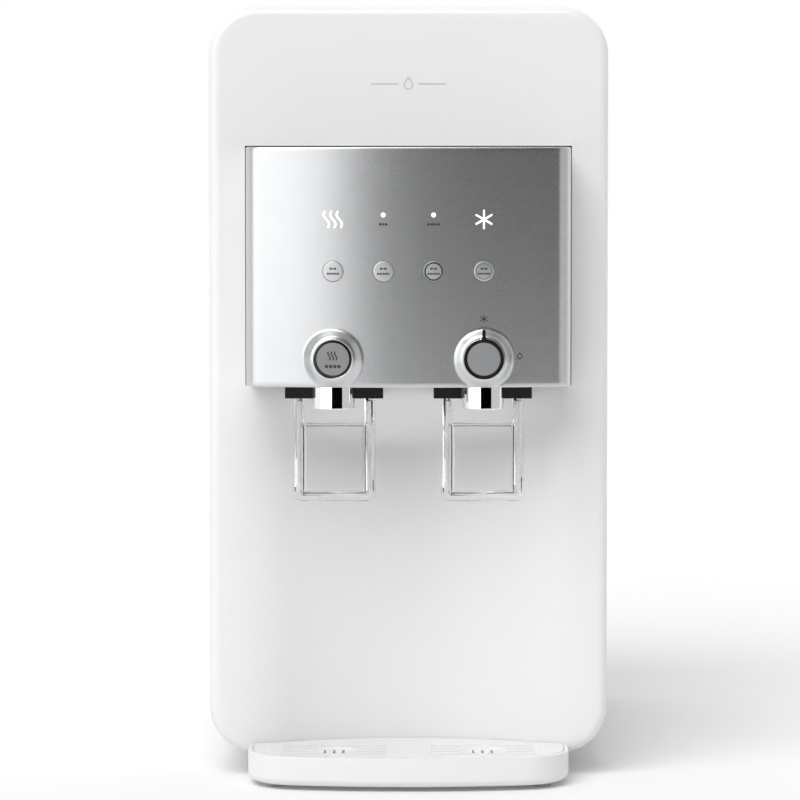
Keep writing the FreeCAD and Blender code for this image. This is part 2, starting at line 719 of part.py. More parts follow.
def head_panel():
    """Silver front of the head, with its mounds, button holes, symbols and standoffs."""
    shell = head_solid(0, CAP_BACK, HEAD_Z0, HEAD_Z1)
    rim = edges_where(shell, lambda p: p.z > HEAD_Z1 - 1e-3 and p.y < at(CAP_BACK) - 1e-3)
    if rim:
        shell = shell.makeFillet(HEAD_EDGE_R, rim)
    shell = cut(shell, head_solid(PANEL_CAVITY, CAP_BACK + 1, HEAD_Z0 - 1, HEAD_Z1 - PANEL_CAVITY))
    solids = []
    for x in (-TAP_X, TAP_X):
        length = head_front(TAP_X) + 1 - MOUND_FRONT
        top = V(x, at(MOUND_FRONT), CONTROL_Z)
        solids.append(Part.makeCone(CONTROL_R + 0.3, MOUND_R, length, top, BACK))
    for x, z in STANDOFF_XZS:
        solids.append(rod_y(3, x, z, head_front(x) + 1, BOARD_D))
    shell = fuse(shell, *solids)
    tools = [
        rod_y(PUSH_HOLE_R, -TAP_X, CONTROL_Z, -70, -50),
        rod_y(SHAFT_R + PIN_CLEAR, TAP_X, CONTROL_Z, -70, -50),
    ]
    for x in BUTTON_XS:
        tools.append(rod_y(BUTTON_HOLE_R, x, BUTTON_Z, -70, -50))
    for x in BUTTON_XS[1:3]:
        tools.append(rod_y(LED_R, x, LED_Z, -70, -50))
    tools += wave_bars(-TAP_X) + star_bars(TAP_X)
    part("head_panel", cut(shell, *tools))


def head_trims():
    """Black trim ring behind the silver cap, and the white housing behind that."""
    half = HEAD_W / 2
    ring = cut(
        box(-half - TRIM_PROUD, half + TRIM_PROUD, CAP_BACK, TRIM_BACK, HEAD_Z0,
            HEAD_Z1 + TRIM_PROUD),
        box(-half + PANEL_CAVITY, half - PANEL_CAVITY, CAP_BACK - 1, TRIM_BACK + 1, HEAD_Z0 - 1,
            HEAD_Z1 - PANEL_CAVITY),
    )
    part("head_trim_frame", ring)
    outer = box(-half + 1, half - 1, TRIM_BACK, 0, HEAD_Z0, HEAD_Z1 - 1)
    inner = box(-half + 1 + WALL, half - 1 - WALL, TRIM_BACK - 1, 1, HEAD_Z0 - 1,
                HEAD_Z1 - 1 - WALL)
    part("head_housing", cut(outer, inner))


def head_base_plate():
    """Black floor of the head with two shaft posts behind the controls."""
    plate = fuse(
        head_solid(PANEL_CAVITY, TRIM_BACK, HEAD_Z0, HEAD_Z0 + WALL),
        box(-HEAD_W / 2 + 1 + WALL, HEAD_W / 2 - 1 - WALL, TRIM_BACK, 0, HEAD_Z0, HEAD_Z0 + WALL),
    )
    hot_post = cut(
        box(-TAP_X - 9, -TAP_X + 9, -43, -41.5, HEAD_Z0 + WALL, CONTROL_Z + 9),
        rod_y(SHAFT_R + 0.06, -TAP_X, CONTROL_Z, -50, -40),
    )
    cold_post = cut(
        box(TAP_X - 9, TAP_X + 9, -50, -41.5, HEAD_Z0 + WALL, CONTROL_Z + 9),
        rod_y(SHAFT_R + 0.06, TAP_X, CONTROL_Z, -51, -44),
    )
    plate = fuse(plate, hot_post, cold_post)
    for x in (-TAP_X, TAP_X):
        plate = cut(
            plate,
            rod_z(SPOUT_R, x, SPOUT_Y, HEAD_Z0 - 1, HEAD_Z0 + WALL + 1),
            box(x - POCKET_HALF_W, x + POCKET_HALF_W, POCKET_FRONT, POCKET_BACK, HEAD_Z0 - 1,
                HEAD_Z0 + WALL + 1),
        )
    part("head_base_plate", plate)


def lever_bracket(x):
    """Black bracket under the head whose ears hold the lever's pins."""
    return cut(
        box(x - BRACKET_HALF_W, x + BRACKET_HALF_W, POCKET_FRONT - 2, POCKET_BACK + 2,
            BRACKET_Z, HEAD_Z0),
        box(x - POCKET_HALF_W, x + POCKET_HALF_W, POCKET_FRONT, POCKET_BACK, BRACKET_Z - 1,
            HEAD_Z0 + 1),
        rod_z(SPOUT_R + 0.4, x, SPOUT_Y, BRACKET_Z - 1, HEAD_Z0 + 1),
        rod_x(PIN_R, PIVOT_Y, PIVOT_Z, x - 40, x + 40),
    )


def valve_body(x):
    """Valve block over a spout, bored for its push rod and the two waterways."""
    body = box(x - 13, x + 13, VALVE_FRONT, VALVE_BACK, HEAD_Z0 + WALL, VALVE_TOP)
    return cut(
        body,
        rod_y(VALVE_BORE_R, x, PLUNGER_Z, VALVE_FRONT + 2, VALVE_BACK + 1),
        rod_z(WATERWAY_R, x, VALVE_MID, PLUNGER_Z, VALVE_TOP + 1),
        rod_z(WATERWAY_R, x, VALVE_MID - 2, HEAD_Z0, PLUNGER_Z),
    )


def tap(name, x):
    """One tap: spout, the valve's push rod and spring, and the lever."""
    shroud = rod_z(SPOUT_R, x, SPOUT_Y, SPOUT_Z, HEAD_Z0 + WALL)
    shroud = shroud.makeFillet(0.8, edges_where(shroud, lambda p: p.z < SPOUT_Z + 1e-3))
    shroud = cut(shroud, rod_z(SPOUT_R - 2, x, SPOUT_Y, SPOUT_Z - 1, HEAD_Z0))
    nozzle = rod_z(6, x, SPOUT_Y, SPOUT_Z + 2, HEAD_Z0 + 1)
    bore = rod_z(3.5, x, SPOUT_Y, SPOUT_Z - 1, HEAD_Z0 + WALL + 1)
    part(name + "_spout", cut(fuse(shroud, nozzle), bore))

    plunger = fuse(
        rod_y(SEAL_R, x, PLUNGER_Z, -29, -25),
        rod_y(ROD_R, x, PLUNGER_Z, -31, -29),
        rod_y(ROD_R, x, PLUNGER_Z, -25, PIVOT_Y - 2.3),
    )
    part(name + "_valve_plunger", plunger)
    part(name + "_valve_spring", coil_spring(x, PLUNGER_Z, VALVE_FRONT + 2, -29, 3.4, 0.35, 4))
    part(name + "_lever", lever(x))


def lever(x):
    """Clear dispensing lever: a thin front plate stiffened by inner and outer ribs."""
    slab = rounded_prism(x - LEVER_HALF_W, x + LEVER_HALF_W, LEVER_Z0, PIVOT_Z + 20, 6,
                         LEVER_FRONT, LEVER_BACK)
    slab = cut(slab, box(x - 40, x + 40, -40, 0, PIVOT_Z + 2.5, PIVOT_Z + 30))
    rib = LEVER_RIB_T
    inner = LEVER_RIB_X
    back = LEVER_FRONT + 2.5
    notch = box(x - inner, x + inner, -40, 0, LEVER_BAR_Z, PIVOT_Z + 30)
    window = box(x - inner, x + inner, back, 0, LEVER_SILL_Z, LEVER_BAR_Z - rib)
    rail = rounded_prism(x - LEVER_HALF_W + rib, x + LEVER_HALF_W - rib, LEVER_Z0 + rib,
                         PIVOT_Z + 20, 4.2, back, 1)
    core = box(x - inner - rib, x + inner + rib, LEVER_FRONT, 1, LEVER_SILL_Z - rib, PIVOT_Z)
    channel = cut(rail, core, box(x - 40, x + 40, -40, 0, PIVOT_Z - 6.5, PIVOT_Z + 30))
    slab = cut(slab, notch, window, channel)
    solids = [slab]
    for low, high in ((x - LEVER_HALF_W, x - inner), (x + inner, x + LEVER_HALF_W)):
        solids.append(box(low, high, PIVOT_Y - 3, PIVOT_Y + 3, PIVOT_Z, PLUNGER_Z + 2))
    solids.append(box(x - LEVER_HALF_W, x + LEVER_HALF_W, PIVOT_Y - 2, PIVOT_Y + 2,
                      PLUNGER_Z - 2, PLUNGER_Z + 2))
    return cut(fuse(*solids), rod_x(PIN_R + PIN_CLEAR, PIVOT_Y, PIVOT_Z, x - 40, x + 40))


def lever_pins():
    """Short steel pins, two to a lever, held in the brackets' ears."""
    pins = []
    for x in (-TAP_X, TAP_X):
        for sign in (-1, 1):
            low, high = sorted((x + sign * (LEVER_RIB_X - 0.3), x + sign * BRACKET_HALF_W))
            pins.append(rod_x(PIN_R, PIVOT_Y, PIVOT_Z, low, high))
    part("lever_pins", *pins)


def hot_button():
    """Hot safety push button with its chrome ring and return spring."""
    x = -TAP_X
    ring = cut(
        rod_y(CONTROL_R, x, CONTROL_Z, MOUND_FRONT - 1.5, MOUND_FRONT),
        rod_y(PUSH_HOLE_R, x, CONTROL_Z, MOUND_FRONT - 2, MOUND_FRONT + 1),
    )
    part("hot_button_ring", ring)
    cap = rod_y(BUTTON_CAP_R, x, CONTROL_Z, -65.6, -54.9)
    disc = rod_y(CONTROL_DISC_R, x, CONTROL_Z, -66.2, -65.6)
    flange = rod_y(13.6, x, CONTROL_Z, -54.9, -53)
    shaft = rod_y(SHAFT_R, x, CONTROL_Z, -53, -41)
    part("hot_push_button", fuse(cap, disc, flange, shaft))
    part("hot_button_spring", coil_spring(x, CONTROL_Z, -53, -43, 4.6, 0.45, 4))


def selector_knob():
    """Cold and ambient selector knob: ring with a raised pointer, shaft, and flush cap."""
    x = TAP_X
    front = -66.3
    back = MOUND_FRONT - GAP
    ring = rod_y(CONTROL_R, x, CONTROL_Z, front, back)
    half = 2.6
    tip = V(x, at(front), CONTROL_Z + POINTER_TIP)
    shoulder_z = CONTROL_Z + CONTROL_R - 1.5
    points = [
        V(x - 3.4 * half, at(front), CONTROL_Z + 9),
        V(x - half, at(front), shoulder_z + 1.5),
        tip,
        V(x + half, at(front), shoulder_z + 1.5),
        V(x + 3.4 * half, at(front), CONTROL_Z + 9),
    ]
    pointer = Part.Face(Part.makePolygon(points + [points[0]])).extrude(V(0, back - front, 0))
    shaft = rod_y(SHAFT_R, x, CONTROL_Z, back, -45.5)
    collar = rod_y(6, x, CONTROL_Z, -54.8, -53.8)
    part("selector_knob", fuse(ring, pointer, shaft, collar))
    part("selector_knob_cap", rod_y(CONTROL_DISC_R, x, CONTROL_Z, front - 0.4, front))


def function_buttons():
    """Four touch-size push buttons, their faces following the curve of the silver front."""
    names = ("hot_power_button", "energy_save_button", "child_lock_button", "cold_power_button")
    skin = head_solid(-0.3, CAP_BACK, HEAD_Z0, HEAD_Z1)
    for node, x in zip(names, BUTTON_XS):
        cap = rod_y(BUTTON_R, x, BUTTON_Z, -70, -56).common(skin)
        flange = rod_y(7.6, x, BUTTON_Z, -56, -55.2)
        stem = rod_y(1.5, x, BUTTON_Z, -55.2, -54.9)
        part(node, fuse(cap, flange, stem))


def head_lights():
    """Light guides of the two symbols and the two status lamp lenses."""
    skin = head_solid(0, CAP_BACK, HEAD_Z0, HEAD_Z1)
    guides = []
    for x, bars in ((-TAP_X, wave_bars(-TAP_X)), (TAP_X, star_bars(TAP_X))):
        plate = box(x - 10, x + 10, GUIDE_BACK - 1.2, GUIDE_BACK, ICON_Z - 9, ICON_Z + 9)
        guides.append(fuse(plate, *[bar.common(skin) for bar in bars]))
    part("icon_light_guides", *guides)
    lenses = []
    for x in BUTTON_XS[1:3]:
        stem = rod_y(LED_R, x, LED_Z, -70, BOARD_D).common(skin)
        lenses.append(fuse(stem, rod_y(2.6, x, LED_Z, BOARD_D - 1.5, BOARD_D)))
    part("status_led_lenses", *lenses)


def display_board():
    """Board behind the silver front, with one tact switch per button."""
    board = box(-78, 78, BOARD_D, BOARD_D + 1.6, 318, 384)
    switches = [
        box(x - 3, x + 3, BOARD_D - 2, BOARD_D, BUTTON_Z - 3, BUTTON_Z + 3) for x in BUTTON_XS
    ]
    chip = box(-9, 9, BOARD_D + 1.6, BOARD_D + 3, 340, 352)
    plug = box(40, 60, BOARD_D + 1.6, BOARD_D + 9, 336, 344)
    part("display_board", fuse(board, *switches, chip, plug))


# ---------------------------------------------------------------- drip tray
def tray_solid(inset, z0, z1):
    """Solid inside the tray's plan outline: bowed front, back following the hollow."""
    front = bowed_plan(TRAY_W / 2, -TRAY_REACH, TRAY_FRONT_R, TRAY_CORNER_R, inset, 40, z0, z1)
    return front.common(recess_solid(-0.5 - inset, z0 - 1, z1 + 1))


def drip_tray():
    """White basin with a rounded underside and a ledge, its two rear tongues and its pads."""
    shell = tray_solid(0, TRAY_BASE, TRAY_TOP)
    shell = shell.makeFillet(5, edges_where(shell, lambda p: p.z < TRAY_BASE + 1e-3))
    ledge = tray_solid(TRAY_WALL, TRAY_TOP - GRILLE_T, TRAY_TOP + 1)
    basin = tray_solid(TRAY_WALL + 3, TRAY_BASE + 4, TRAY_TOP)
    part("drip_tray", cut(shell, ledge, basin))
    tongues = [cut(box(x - 10, x + 10, 18, 62, 3, 10), shell) for x in TONGUE_XS]
    part("tray_tongues", *[tongue.Solids[-1] for tongue in tongues])
    part("tray_pads", *[rod_z(6, x, depth, -CLEARANCE, TRAY_BASE) for x, depth in PAD_XDS])


def drip_grille():
    """Lift-out top plate with a dished target under each tap and rows of slots."""
    plate = tray_solid(TRAY_WALL + GAP, TRAY_TOP - GRILLE_T, TRAY_TOP)
    tools = []
    for x in (-TAP_X, TAP_X):
        tools.append(rod_z(TARGET_R, x, TARGET_D, TRAY_TOP - 0.9, TRAY_TOP + 1))
        for sx in (-6, 0, 6):
            tools.append(box(x + sx - 1.2, x + sx + 1.2, TARGET_D - 7, TARGET_D + 7, 10, TRAY_TOP))
        for i in range(7):
            depth = TARGET_D - 21 + 7 * i
            clear = math.sqrt(max(TARGET_R ** 2 - (depth - TARGET_D) ** 2, 0)) + 3
            for low, high in ((-34, -clear), (clear, 34)):
                tools.append(box(x + low, x + high, depth - 1, depth + 1, 10, TRAY_TOP + 1))
    part("drip_grille", cut(plate, *tools))


# ---------------------------------------------------------------- assembly
def build():
    front_fascia()
    side_panels()
    top_cover()
    rear_panel()
    rear_panel_screws()
    base_pan()
    rubber_feet()
    tank_shelf()
    filters()
    hot_tank()
    cold_tank()
    ambient_tank()
    compressor()
    condenser()
    water_side()
    power_board()
    power_inlet()
    power_rocker()
    head_panel()
    head_trims()
    head_base_plate()
    part("lever_brackets", lever_bracket(-TAP_X), lever_bracket(TAP_X))
    part("valve_bodies", valve_body(-TAP_X), valve_body(TAP_X))
    tap("hot", -TAP_X)
    tap("cold", TAP_X)
    lever_pins()
    hot_button()
    selector_knob()
    function_buttons()
    head_lights()
    display_board()
    drip_tray()
    drip_grille()


def main():
    build()
    os.makedirs("parts", exist_ok=True)
    for node, shape in PARTS.items():
        shape.exportStep(os.path.join("parts", node + ".step"))
        state = "ok" if shape.isValid() else "NOT VALID"
        print(f"{node:24s} {len(shape.Solids):3d} solids {shape.Volume / 1000:10.2f} cm3 {state}")
    print(len(PARTS), "parts")


main()
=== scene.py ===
"""Looks of the countertop water dispenser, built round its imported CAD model.

Shapes are worked out in millimetres, with x to the right, d the depth behind the front plane
of the white fascia and z the height over the tray's underside. point(x, d, z) turns that into
the row frame, in metres.
"""
import json
import math

import bmesh
import bpy
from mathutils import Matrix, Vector
from mathutils.geometry import delaunay_2d_cdt

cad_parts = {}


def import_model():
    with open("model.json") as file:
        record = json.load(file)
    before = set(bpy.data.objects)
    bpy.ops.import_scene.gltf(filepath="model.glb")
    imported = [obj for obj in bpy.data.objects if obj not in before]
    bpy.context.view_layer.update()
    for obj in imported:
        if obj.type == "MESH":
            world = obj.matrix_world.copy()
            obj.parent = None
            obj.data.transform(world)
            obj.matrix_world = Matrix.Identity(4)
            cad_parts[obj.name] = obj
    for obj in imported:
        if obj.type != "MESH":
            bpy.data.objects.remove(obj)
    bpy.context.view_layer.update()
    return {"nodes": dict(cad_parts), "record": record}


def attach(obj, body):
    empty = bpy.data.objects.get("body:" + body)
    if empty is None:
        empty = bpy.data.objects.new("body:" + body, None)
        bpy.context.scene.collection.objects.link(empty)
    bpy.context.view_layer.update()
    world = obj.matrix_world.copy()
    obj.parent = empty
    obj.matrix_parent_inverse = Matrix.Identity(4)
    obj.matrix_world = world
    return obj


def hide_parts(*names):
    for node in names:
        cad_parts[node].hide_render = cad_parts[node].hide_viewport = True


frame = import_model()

# ---------------------------------------------------------------- dimensions, mm
MM = 0.001
FASCIA_Y = -173.0
CLEARANCE = 3.0
HALF_W = 130.0
BASE_Z = 12.0
TOP_Z = 500.0
CORNER_R = 31.0
EDGE_R = 6.0
FASCIA_D = 40.0
OUTLINE_STEP = 4.0
WALL = 2.5

RECESS_D = 26.5
RECESS_HALF_W = 120.0
RECESS_BOWL_R = 185.0
RECESS_TURN = 2 * math.atan2(RECESS_D, RECESS_HALF_W)
RECESS_FLANK_R = RECESS_HALF_W / math.sin(RECESS_TURN) - RECESS_BOWL_R
RECESS_TOP_Z = 256.0
RECESS_FULL_Z = 213.0

HEAD_HALF_W = 104.0
HEAD_Z0 = 256.0
HEAD_Z1 = 409.0
HEAD_R = 474.7
HEAD_CORNER_R = 12.0
HEAD_REACH = 62.0
HEAD_MID_D = HEAD_R - HEAD_REACH
CAP_BACK = -34.0
CORNER_X = HEAD_HALF_W - HEAD_CORNER_R
CORNER_D = HEAD_MID_D - math.sqrt((HEAD_R - HEAD_CORNER_R) ** 2 - CORNER_X ** 2)
HEAD_TURN = math.asin(CORNER_X / (HEAD_R - HEAD_CORNER_R))
FRONT_RUN = HEAD_R * HEAD_TURN
CORNER_RUN = HEAD_CORNER_R * (math.pi / 2 - HEAD_TURN)
SIDE_RUN = CAP_BACK - CORNER_D
TOP_ROUND = 1.2
FOOT_ROUND = 0.8

TAP_X = 48.0
CONTROL_Z = 274.4
MOUND_FRONT = -64.3
MOUND_TOP_R = 13.3
MOUND_BASE_R = 19.4
BUTTON_WELL_R = 12.3
CAP_R = 10.45
HOT_FRONT = -66.35
KNOB_FRONT = -66.3
BUTTON_XS = (-48.0, -16.0, 16.0, 48.0)
BUTTON_Z = 330.0
BUTTON_R = 6.6
BUTTON_HOLE_R = 6.78
BUTTON_RINGS = {"child_lock": (4.95, 6.1), "cold_power": (4.75, 5.1)}
BUTTON_CROWN = 0.2
BUTTON_PROUD = 0.22
ICON_Z = 363.0
LED_XS = (-16.0, 16.0)
LED_Z = 365.8
LED_R = 1.55
LABEL_Z = 359.9
LABEL_H = 1.5
STAR_MARK_Z = 299.8
DROP_MARK_XZ = (70.9, 275.6)

SPOUT_D = -30.0
SPOUT_R = 13.65
SPOUT_WALL = 1.6
NOZZLE_R = 6.0
NOZZLE_BORE_R = 3.5
SPOUT_Z = 240.8
SPOUT_TOP = 258.5
LEVER_SOFT_TOP = 240.0

TRAY_HALF_W = 104.0
TRAY_REACH = 67.0
TRAY_FRONT_R = 385.0
TRAY_CORNER_R = 35.0
TRAY_BASE = 0.0
TRAY_TOP = 19.0
GRILLE_T = 2.5
TARGET_D = -29.0
TARGET_R = 13.5
SLOT_W = 1.3
SLOT_PITCH = 7.0
SLOT_REACH = 34.0
TARGET_SLOT = (1.5, 14.0)
TONGUE_XS = (-60.0, 60.0)
TONGUE_BACK = 62.0

MARK_Z = 450.0

# ---------------------------------------------------------------- stage, m and degrees
CAMERA_BACK = 2.56
CAMERA_Z = 0.4025
CAMERA_DOWN = 3.465
LENS_MM = 177.0
SENSOR_MM = 36.0
SHIFT_X = -0.0105
CARD_R = 2.2
CARD_CENTRE_Y = -0.17


def point(x, d, z):
    """Millimetres from the fascia's front plane and the tray's underside, in the row frame."""
    return Vector((x, FASCIA_Y + d, z + CLEARANCE)) * MM


# ---------------------------------------------------------------- materials
NOISE_BAND = (0.3, 0.7)


def set_inputs(node, **sockets):
    """Sets a node's sockets, named with _ for each space."""
    for socket, value in sockets.items():
        node.inputs[socket.replace("_", " ")].default_value = value


def finish(name, colour, rough, spread=0.02, rough_spread=0.04, mottle=35.0, grain=1400.0,
           bump=0.02, depth=0.0001, stretch=(1, 1, 1), **sockets):
    """Principled material whose colour, gloss and relief vary a little with noise."""
    mat = bpy.data.materials.new(name)
    mat.use_nodes = True
    nodes, links = mat.node_tree.nodes, mat.node_tree.links
    shader = nodes["Principled BSDF"]
    where = nodes.new("ShaderNodeTexCoord")
    scaled = nodes.new("ShaderNodeMapping")
    scaled.inputs["Scale"].default_value = stretch
    links.new(where.outputs["Object"], scaled.inputs["Vector"])

    cloud = nodes.new("ShaderNodeTexNoise")
    set_inputs(cloud, Scale=mottle, Detail=5)
    links.new(scaled.outputs["Vector"], cloud.inputs["Vector"])
    tone = nodes.new("ShaderNodeValToRGB")
    for stop, place, factor in zip(tone.color_ramp.elements, NOISE_BAND, (1 - spread, 1 + spread)):
        stop.position = place
        stop.color = [min(1.0, c * factor) for c in colour] + [1]
    links.new(cloud.outputs["Fac"], tone.inputs["Fac"])
    links.new(tone.outputs["Color"], shader.inputs["Base Color"])

    fine = nodes.new("ShaderNodeTexNoise")
    set_inputs(fine, Scale=grain, Detail=3)
    links.new(scaled.outputs["Vector"], fine.inputs["Vector"])
    gloss = nodes.new("ShaderNodeMapRange")
    set_inputs(gloss, From_Min=NOISE_BAND[0], From_Max=NOISE_BAND[1],
               To_Min=max(0.0, rough - rough_spread), To_Max=rough + rough_spread)
    links.new(fine.outputs["Fac"], gloss.inputs["Value"])
    links.new(gloss.outputs["Result"], shader.inputs["Roughness"])
    relief = nodes.new("ShaderNodeBump")
    set_inputs(relief, Strength=bump, Distance=depth)
    links.new(fine.outputs["Fac"], relief.inputs["Height"])
    links.new(relief.outputs["Normal"], shader.inputs["Normal"])

    set_inputs(shader, **sockets)
    return mat


FINISHES = {
    "white_gloss": dict(colour=(0.80, 0.80, 0.80), rough=0.24, spread=0.008, mottle=9.0,
                        bump=0.03, Coat_Weight=0.2, Coat_Roughness=0.15),
    "white_satin": dict(colour=(0.77, 0.77, 0.76), rough=0.42, spread=0.012, mottle=12.0,
                        bump=0.12, grain=2600.0),
    "silver_satin": dict(colour=(0.60, 0.61, 0.62), rough=0.29, spread=0.012, mottle=60.0,
                         bump=0.05, grain=5200.0, Metallic=0.95, Coat_Weight=0.15,
                         Coat_Roughness=0.25),
    "chrome": dict(colour=(0.90, 0.90, 0.91), rough=0.05, rough_spread=0.02, spread=0.01,
                   bump=0.01, Metallic=1.0),
    "black_plastic": dict(colour=(0.012, 0.012, 0.013), rough=0.22, spread=0.1, bump=0.05),
    "clear_plastic": dict(colour=(0.995, 0.997, 0.997), rough=0.02, rough_spread=0.012,
                          spread=0.003, bump=0.004, Transmission_Weight=1.0, IOR=1.45),
    "grey_button": dict(colour=(0.24, 0.245, 0.25), rough=0.36, spread=0.02, bump=0.08,
                        grain=3200.0),
    "silver_button": dict(colour=(0.56, 0.57, 0.58), rough=0.36, spread=0.015, bump=0.05,
                          grain=5200.0, Metallic=0.75),
    "black_rubber": dict(colour=(0.018, 0.018, 0.018), rough=0.72, spread=0.15, bump=0.25),
    "pale_rubber": dict(colour=(0.55, 0.55, 0.53), rough=0.62, spread=0.05, bump=0.2),
    "stainless": dict(colour=(0.58, 0.58, 0.57), rough=0.27, spread=0.04, mottle=70.0,
                      stretch=(1, 1, 26), bump=0.1, Metallic=1.0),
    "spring_steel": dict(colour=(0.46, 0.46, 0.47), rough=0.26, spread=0.05, Metallic=1.0),
    "zinc_steel": dict(colour=(0.62, 0.63, 0.64), rough=0.34, spread=0.10, mottle=160.0,
                       Metallic=1.0),
    "black_enamel": dict(colour=(0.014, 0.014, 0.015), rough=0.3, spread=0.12, mottle=60.0,
                         bump=0.12),
    "copper": dict(colour=(0.72, 0.36, 0.22), rough=0.28, spread=0.12, mottle=120.0,
                   Metallic=1.0),
    "foam": dict(colour=(0.62, 0.63, 0.66), rough=0.9, spread=0.05, bump=0.7, grain=420.0,
                 depth=0.0006),
    "tank_plastic": dict(colour=(0.70, 0.72, 0.72), rough=0.4, spread=0.02, mottle=20.0),
    "filter_white": dict(colour=(0.74, 0.75, 0.75), rough=0.35, spread=0.015, mottle=20.0),
    "filter_blue": dict(colour=(0.05, 0.16, 0.42), rough=0.35, spread=0.05, mottle=20.0),
    "circuit_board": dict(colour=(0.02, 0.14, 0.06), rough=0.4, spread=0.35, mottle=300.0,
                          bump=0.3, grain=900.0),
    "light_white": dict(colour=(0.95, 0.96, 0.97), rough=0.4, spread=0.005,
                        Emission_Color=(0.95, 0.97, 1.0, 1), Emission_Strength=0.75),
    "tube_white": dict(colour=(0.74, 0.74, 0.72), rough=0.45, spread=0.02),
}
MATERIALS = {slot: finish(slot, **look) for slot, look in FINISHES.items()}
PRINT_DARK = finish("print_dark", (0.028, 0.029, 0.031), 0.55, spread=0.1)
PRINT_PALE = finish("print_pale", (0.60, 0.605, 0.61), 0.38, spread=0.02, Metallic=0.4)


# ---------------------------------------------------------------- mesh tools
WELD = 2e-6
FLAT_ANGLE = math.radians(0.4)
EDGE_ANGLE = math.radians(28)


def piece(name, points, faces, body, slot, nodes=(), material=None, sharp=34.0, even=True):
    """One visible piece from points in row-frame metres, riding on a CAD body."""
    bm = bmesh.new()
    made = [bm.verts.new(p) for p in points]
    for face in faces:
        if len(set(face)) > 2:
            bm.faces.new([made[i] for i in face])
    bmesh.ops.delete(bm, geom=[v for v in bm.verts if not v.link_faces], context="VERTS")
    bmesh.ops.recalc_face_normals(bm, faces=bm.faces)
    return settle(name, bm, body, slot, nodes, material, sharp, even)


def settle(name, bm, body, slot, nodes, material=None, sharp=34.0, even=True):
    """Turns a finished bmesh into an object with its material, shading and body."""
    mesh = bpy.data.meshes.new(name)
    bm.to_mesh(mesh)
    bm.free()
    mesh.shade_smooth()
    mesh.set_sharp_from_angle(angle=math.radians(sharp))
    mesh.materials.append(material or MATERIALS[slot])
    obj = bpy.data.objects.new(name, mesh)
    bpy.context.scene.collection.objects.link(obj)
    if even:
        flats = obj.modifiers.new("flat faces", "WEIGHTED_NORMAL")
        flats.keep_sharp = True
        flats.weight = 90
    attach(obj, body)
    if nodes:
        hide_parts(*nodes)
    return obj


def anticlockwise(loop):
    """The flat loop, turned anticlockwise."""
    area = sum(a[0] * b[1] - b[0] * a[1] for a, b in zip(loop, loop[1:] + loop[:1]))
    return list(loop) if area > 0 else list(reversed(loop))


def triangulate(outer, loops=(), inner=()):
    """Flat triangles inside outer, cut along every loop, and the loop that holds each (or -1)."""
    outer = anticlockwise(outer)
    coords = list(outer)
    faces = [list(range(len(outer)))]
    for loop in loops:
        faces.append(list(range(len(coords), len(coords) + len(loop))))
        coords += anticlockwise(loop)
    coords += list(inner)
    flat, _, triangles, _, _, owners = delaunay_2d_cdt(
        [Vector(c) for c in coords], [], faces, 1, 1e-4)
    return flat, triangles, [max(held) - 1 if held else -1 for held in owners]


def thicken(outer, inner, faces):
    """Closed shell between a skin and its matching inner points, walled along open edges."""
    count = len(outer)
    directed = {(a, b) for f in faces for a, b in zip(f, f[1:] + f[:1])}
    walls = [(b, a, a + count, b + count) for a, b in directed if (b, a) not in directed]
    inside = [tuple(i + count for i in reversed(f)) for f in faces]
    return list(outer) + list(inner), [tuple(f) for f in faces] + inside + walls


def normals_of(points, faces):
    """Area-weighted normal at each point of a skin."""
    sums = [Vector((0, 0, 0)) for _ in points]
    for face in faces:
        a, b, c = points[face[0]], points[face[1]], points[face[2]]
        normal = (b - a).cross(c - a)
        for i in face:
            sums[i] += normal
    return [s.normalized() if s.length > 0 else s for s in sums]


def rounded(path, radius, closed=False, steps=4):
    """Path of flat points with each corner replaced by a small arc."""
    result = []
    count = len(path)
    for i, corner in enumerate(path):
        if not closed and i in (0, count - 1):
            result.append(tuple(corner))
            continue
        here = Vector(corner)
        before, after = Vector(path[i - 1]) - here, Vector(path[(i + 1) % count]) - here
        reach = min(radius, before.length * 0.48, after.length * 0.48)
        start, end = here + before.normalized() * reach, here + after.normalized() * reach
        for k in range(steps + 1):
            t = k / steps
            result.append(tuple(start.lerp(here, t).lerp(here.lerp(end, t), t)))
    return result


def lathe(profile, turn, closed=True, steps=80):
    """Points and faces of a profile of (radius, height) turned once by turn(r, angle, h)."""
    points, rings, faces = [], [], []
    for radius, height in profile:
        start = len(points)
        if radius < 1e-6:
            points.append(turn(0, 0, height))
            rings.append([start] * steps)
        else:
            points += [turn(radius, 2 * math.pi * k / steps, height) for k in range(steps)]
            rings.append(list(range(start, start + steps)))
    pairs = list(zip(rings, rings[1:])) + ([(rings[-1], rings[0])] if closed else [])
    for low, high in pairs:
        for k in range(steps):
            n = (k + 1) % steps
            corners = [low[k], low[n], high[n], high[k]]
            faces.append(list(dict.fromkeys(corners)))
    return points, faces


def facing(x, z):
    """Turning about a control's axis, which faces the front: height is depth d."""
    return lambda r, a, d: point(x + r * math.sin(a), d, z + r * math.cos(a))


def upright(x, d):
    """Turning about a vertical axis: height is z."""
    return lambda r, a, z: point(x + r * math.cos(a), d + r * math.sin(a), z)


def loft(rows):
    """Closed skin through rows of equally many points, with the end rows filled."""
    width = len(rows[0])
    points = [p for row in rows for p in row]
    faces = []
    for start in range(0, len(points) - width, width):
        for k in range(width):
            n = (k + 1) % width
            faces.append((start + k, start + n, start + width + n, start + width + k))
    faces.append(tuple(range(width)))
    faces.append(tuple(range(len(points) - width, len(points))))
    return points, faces


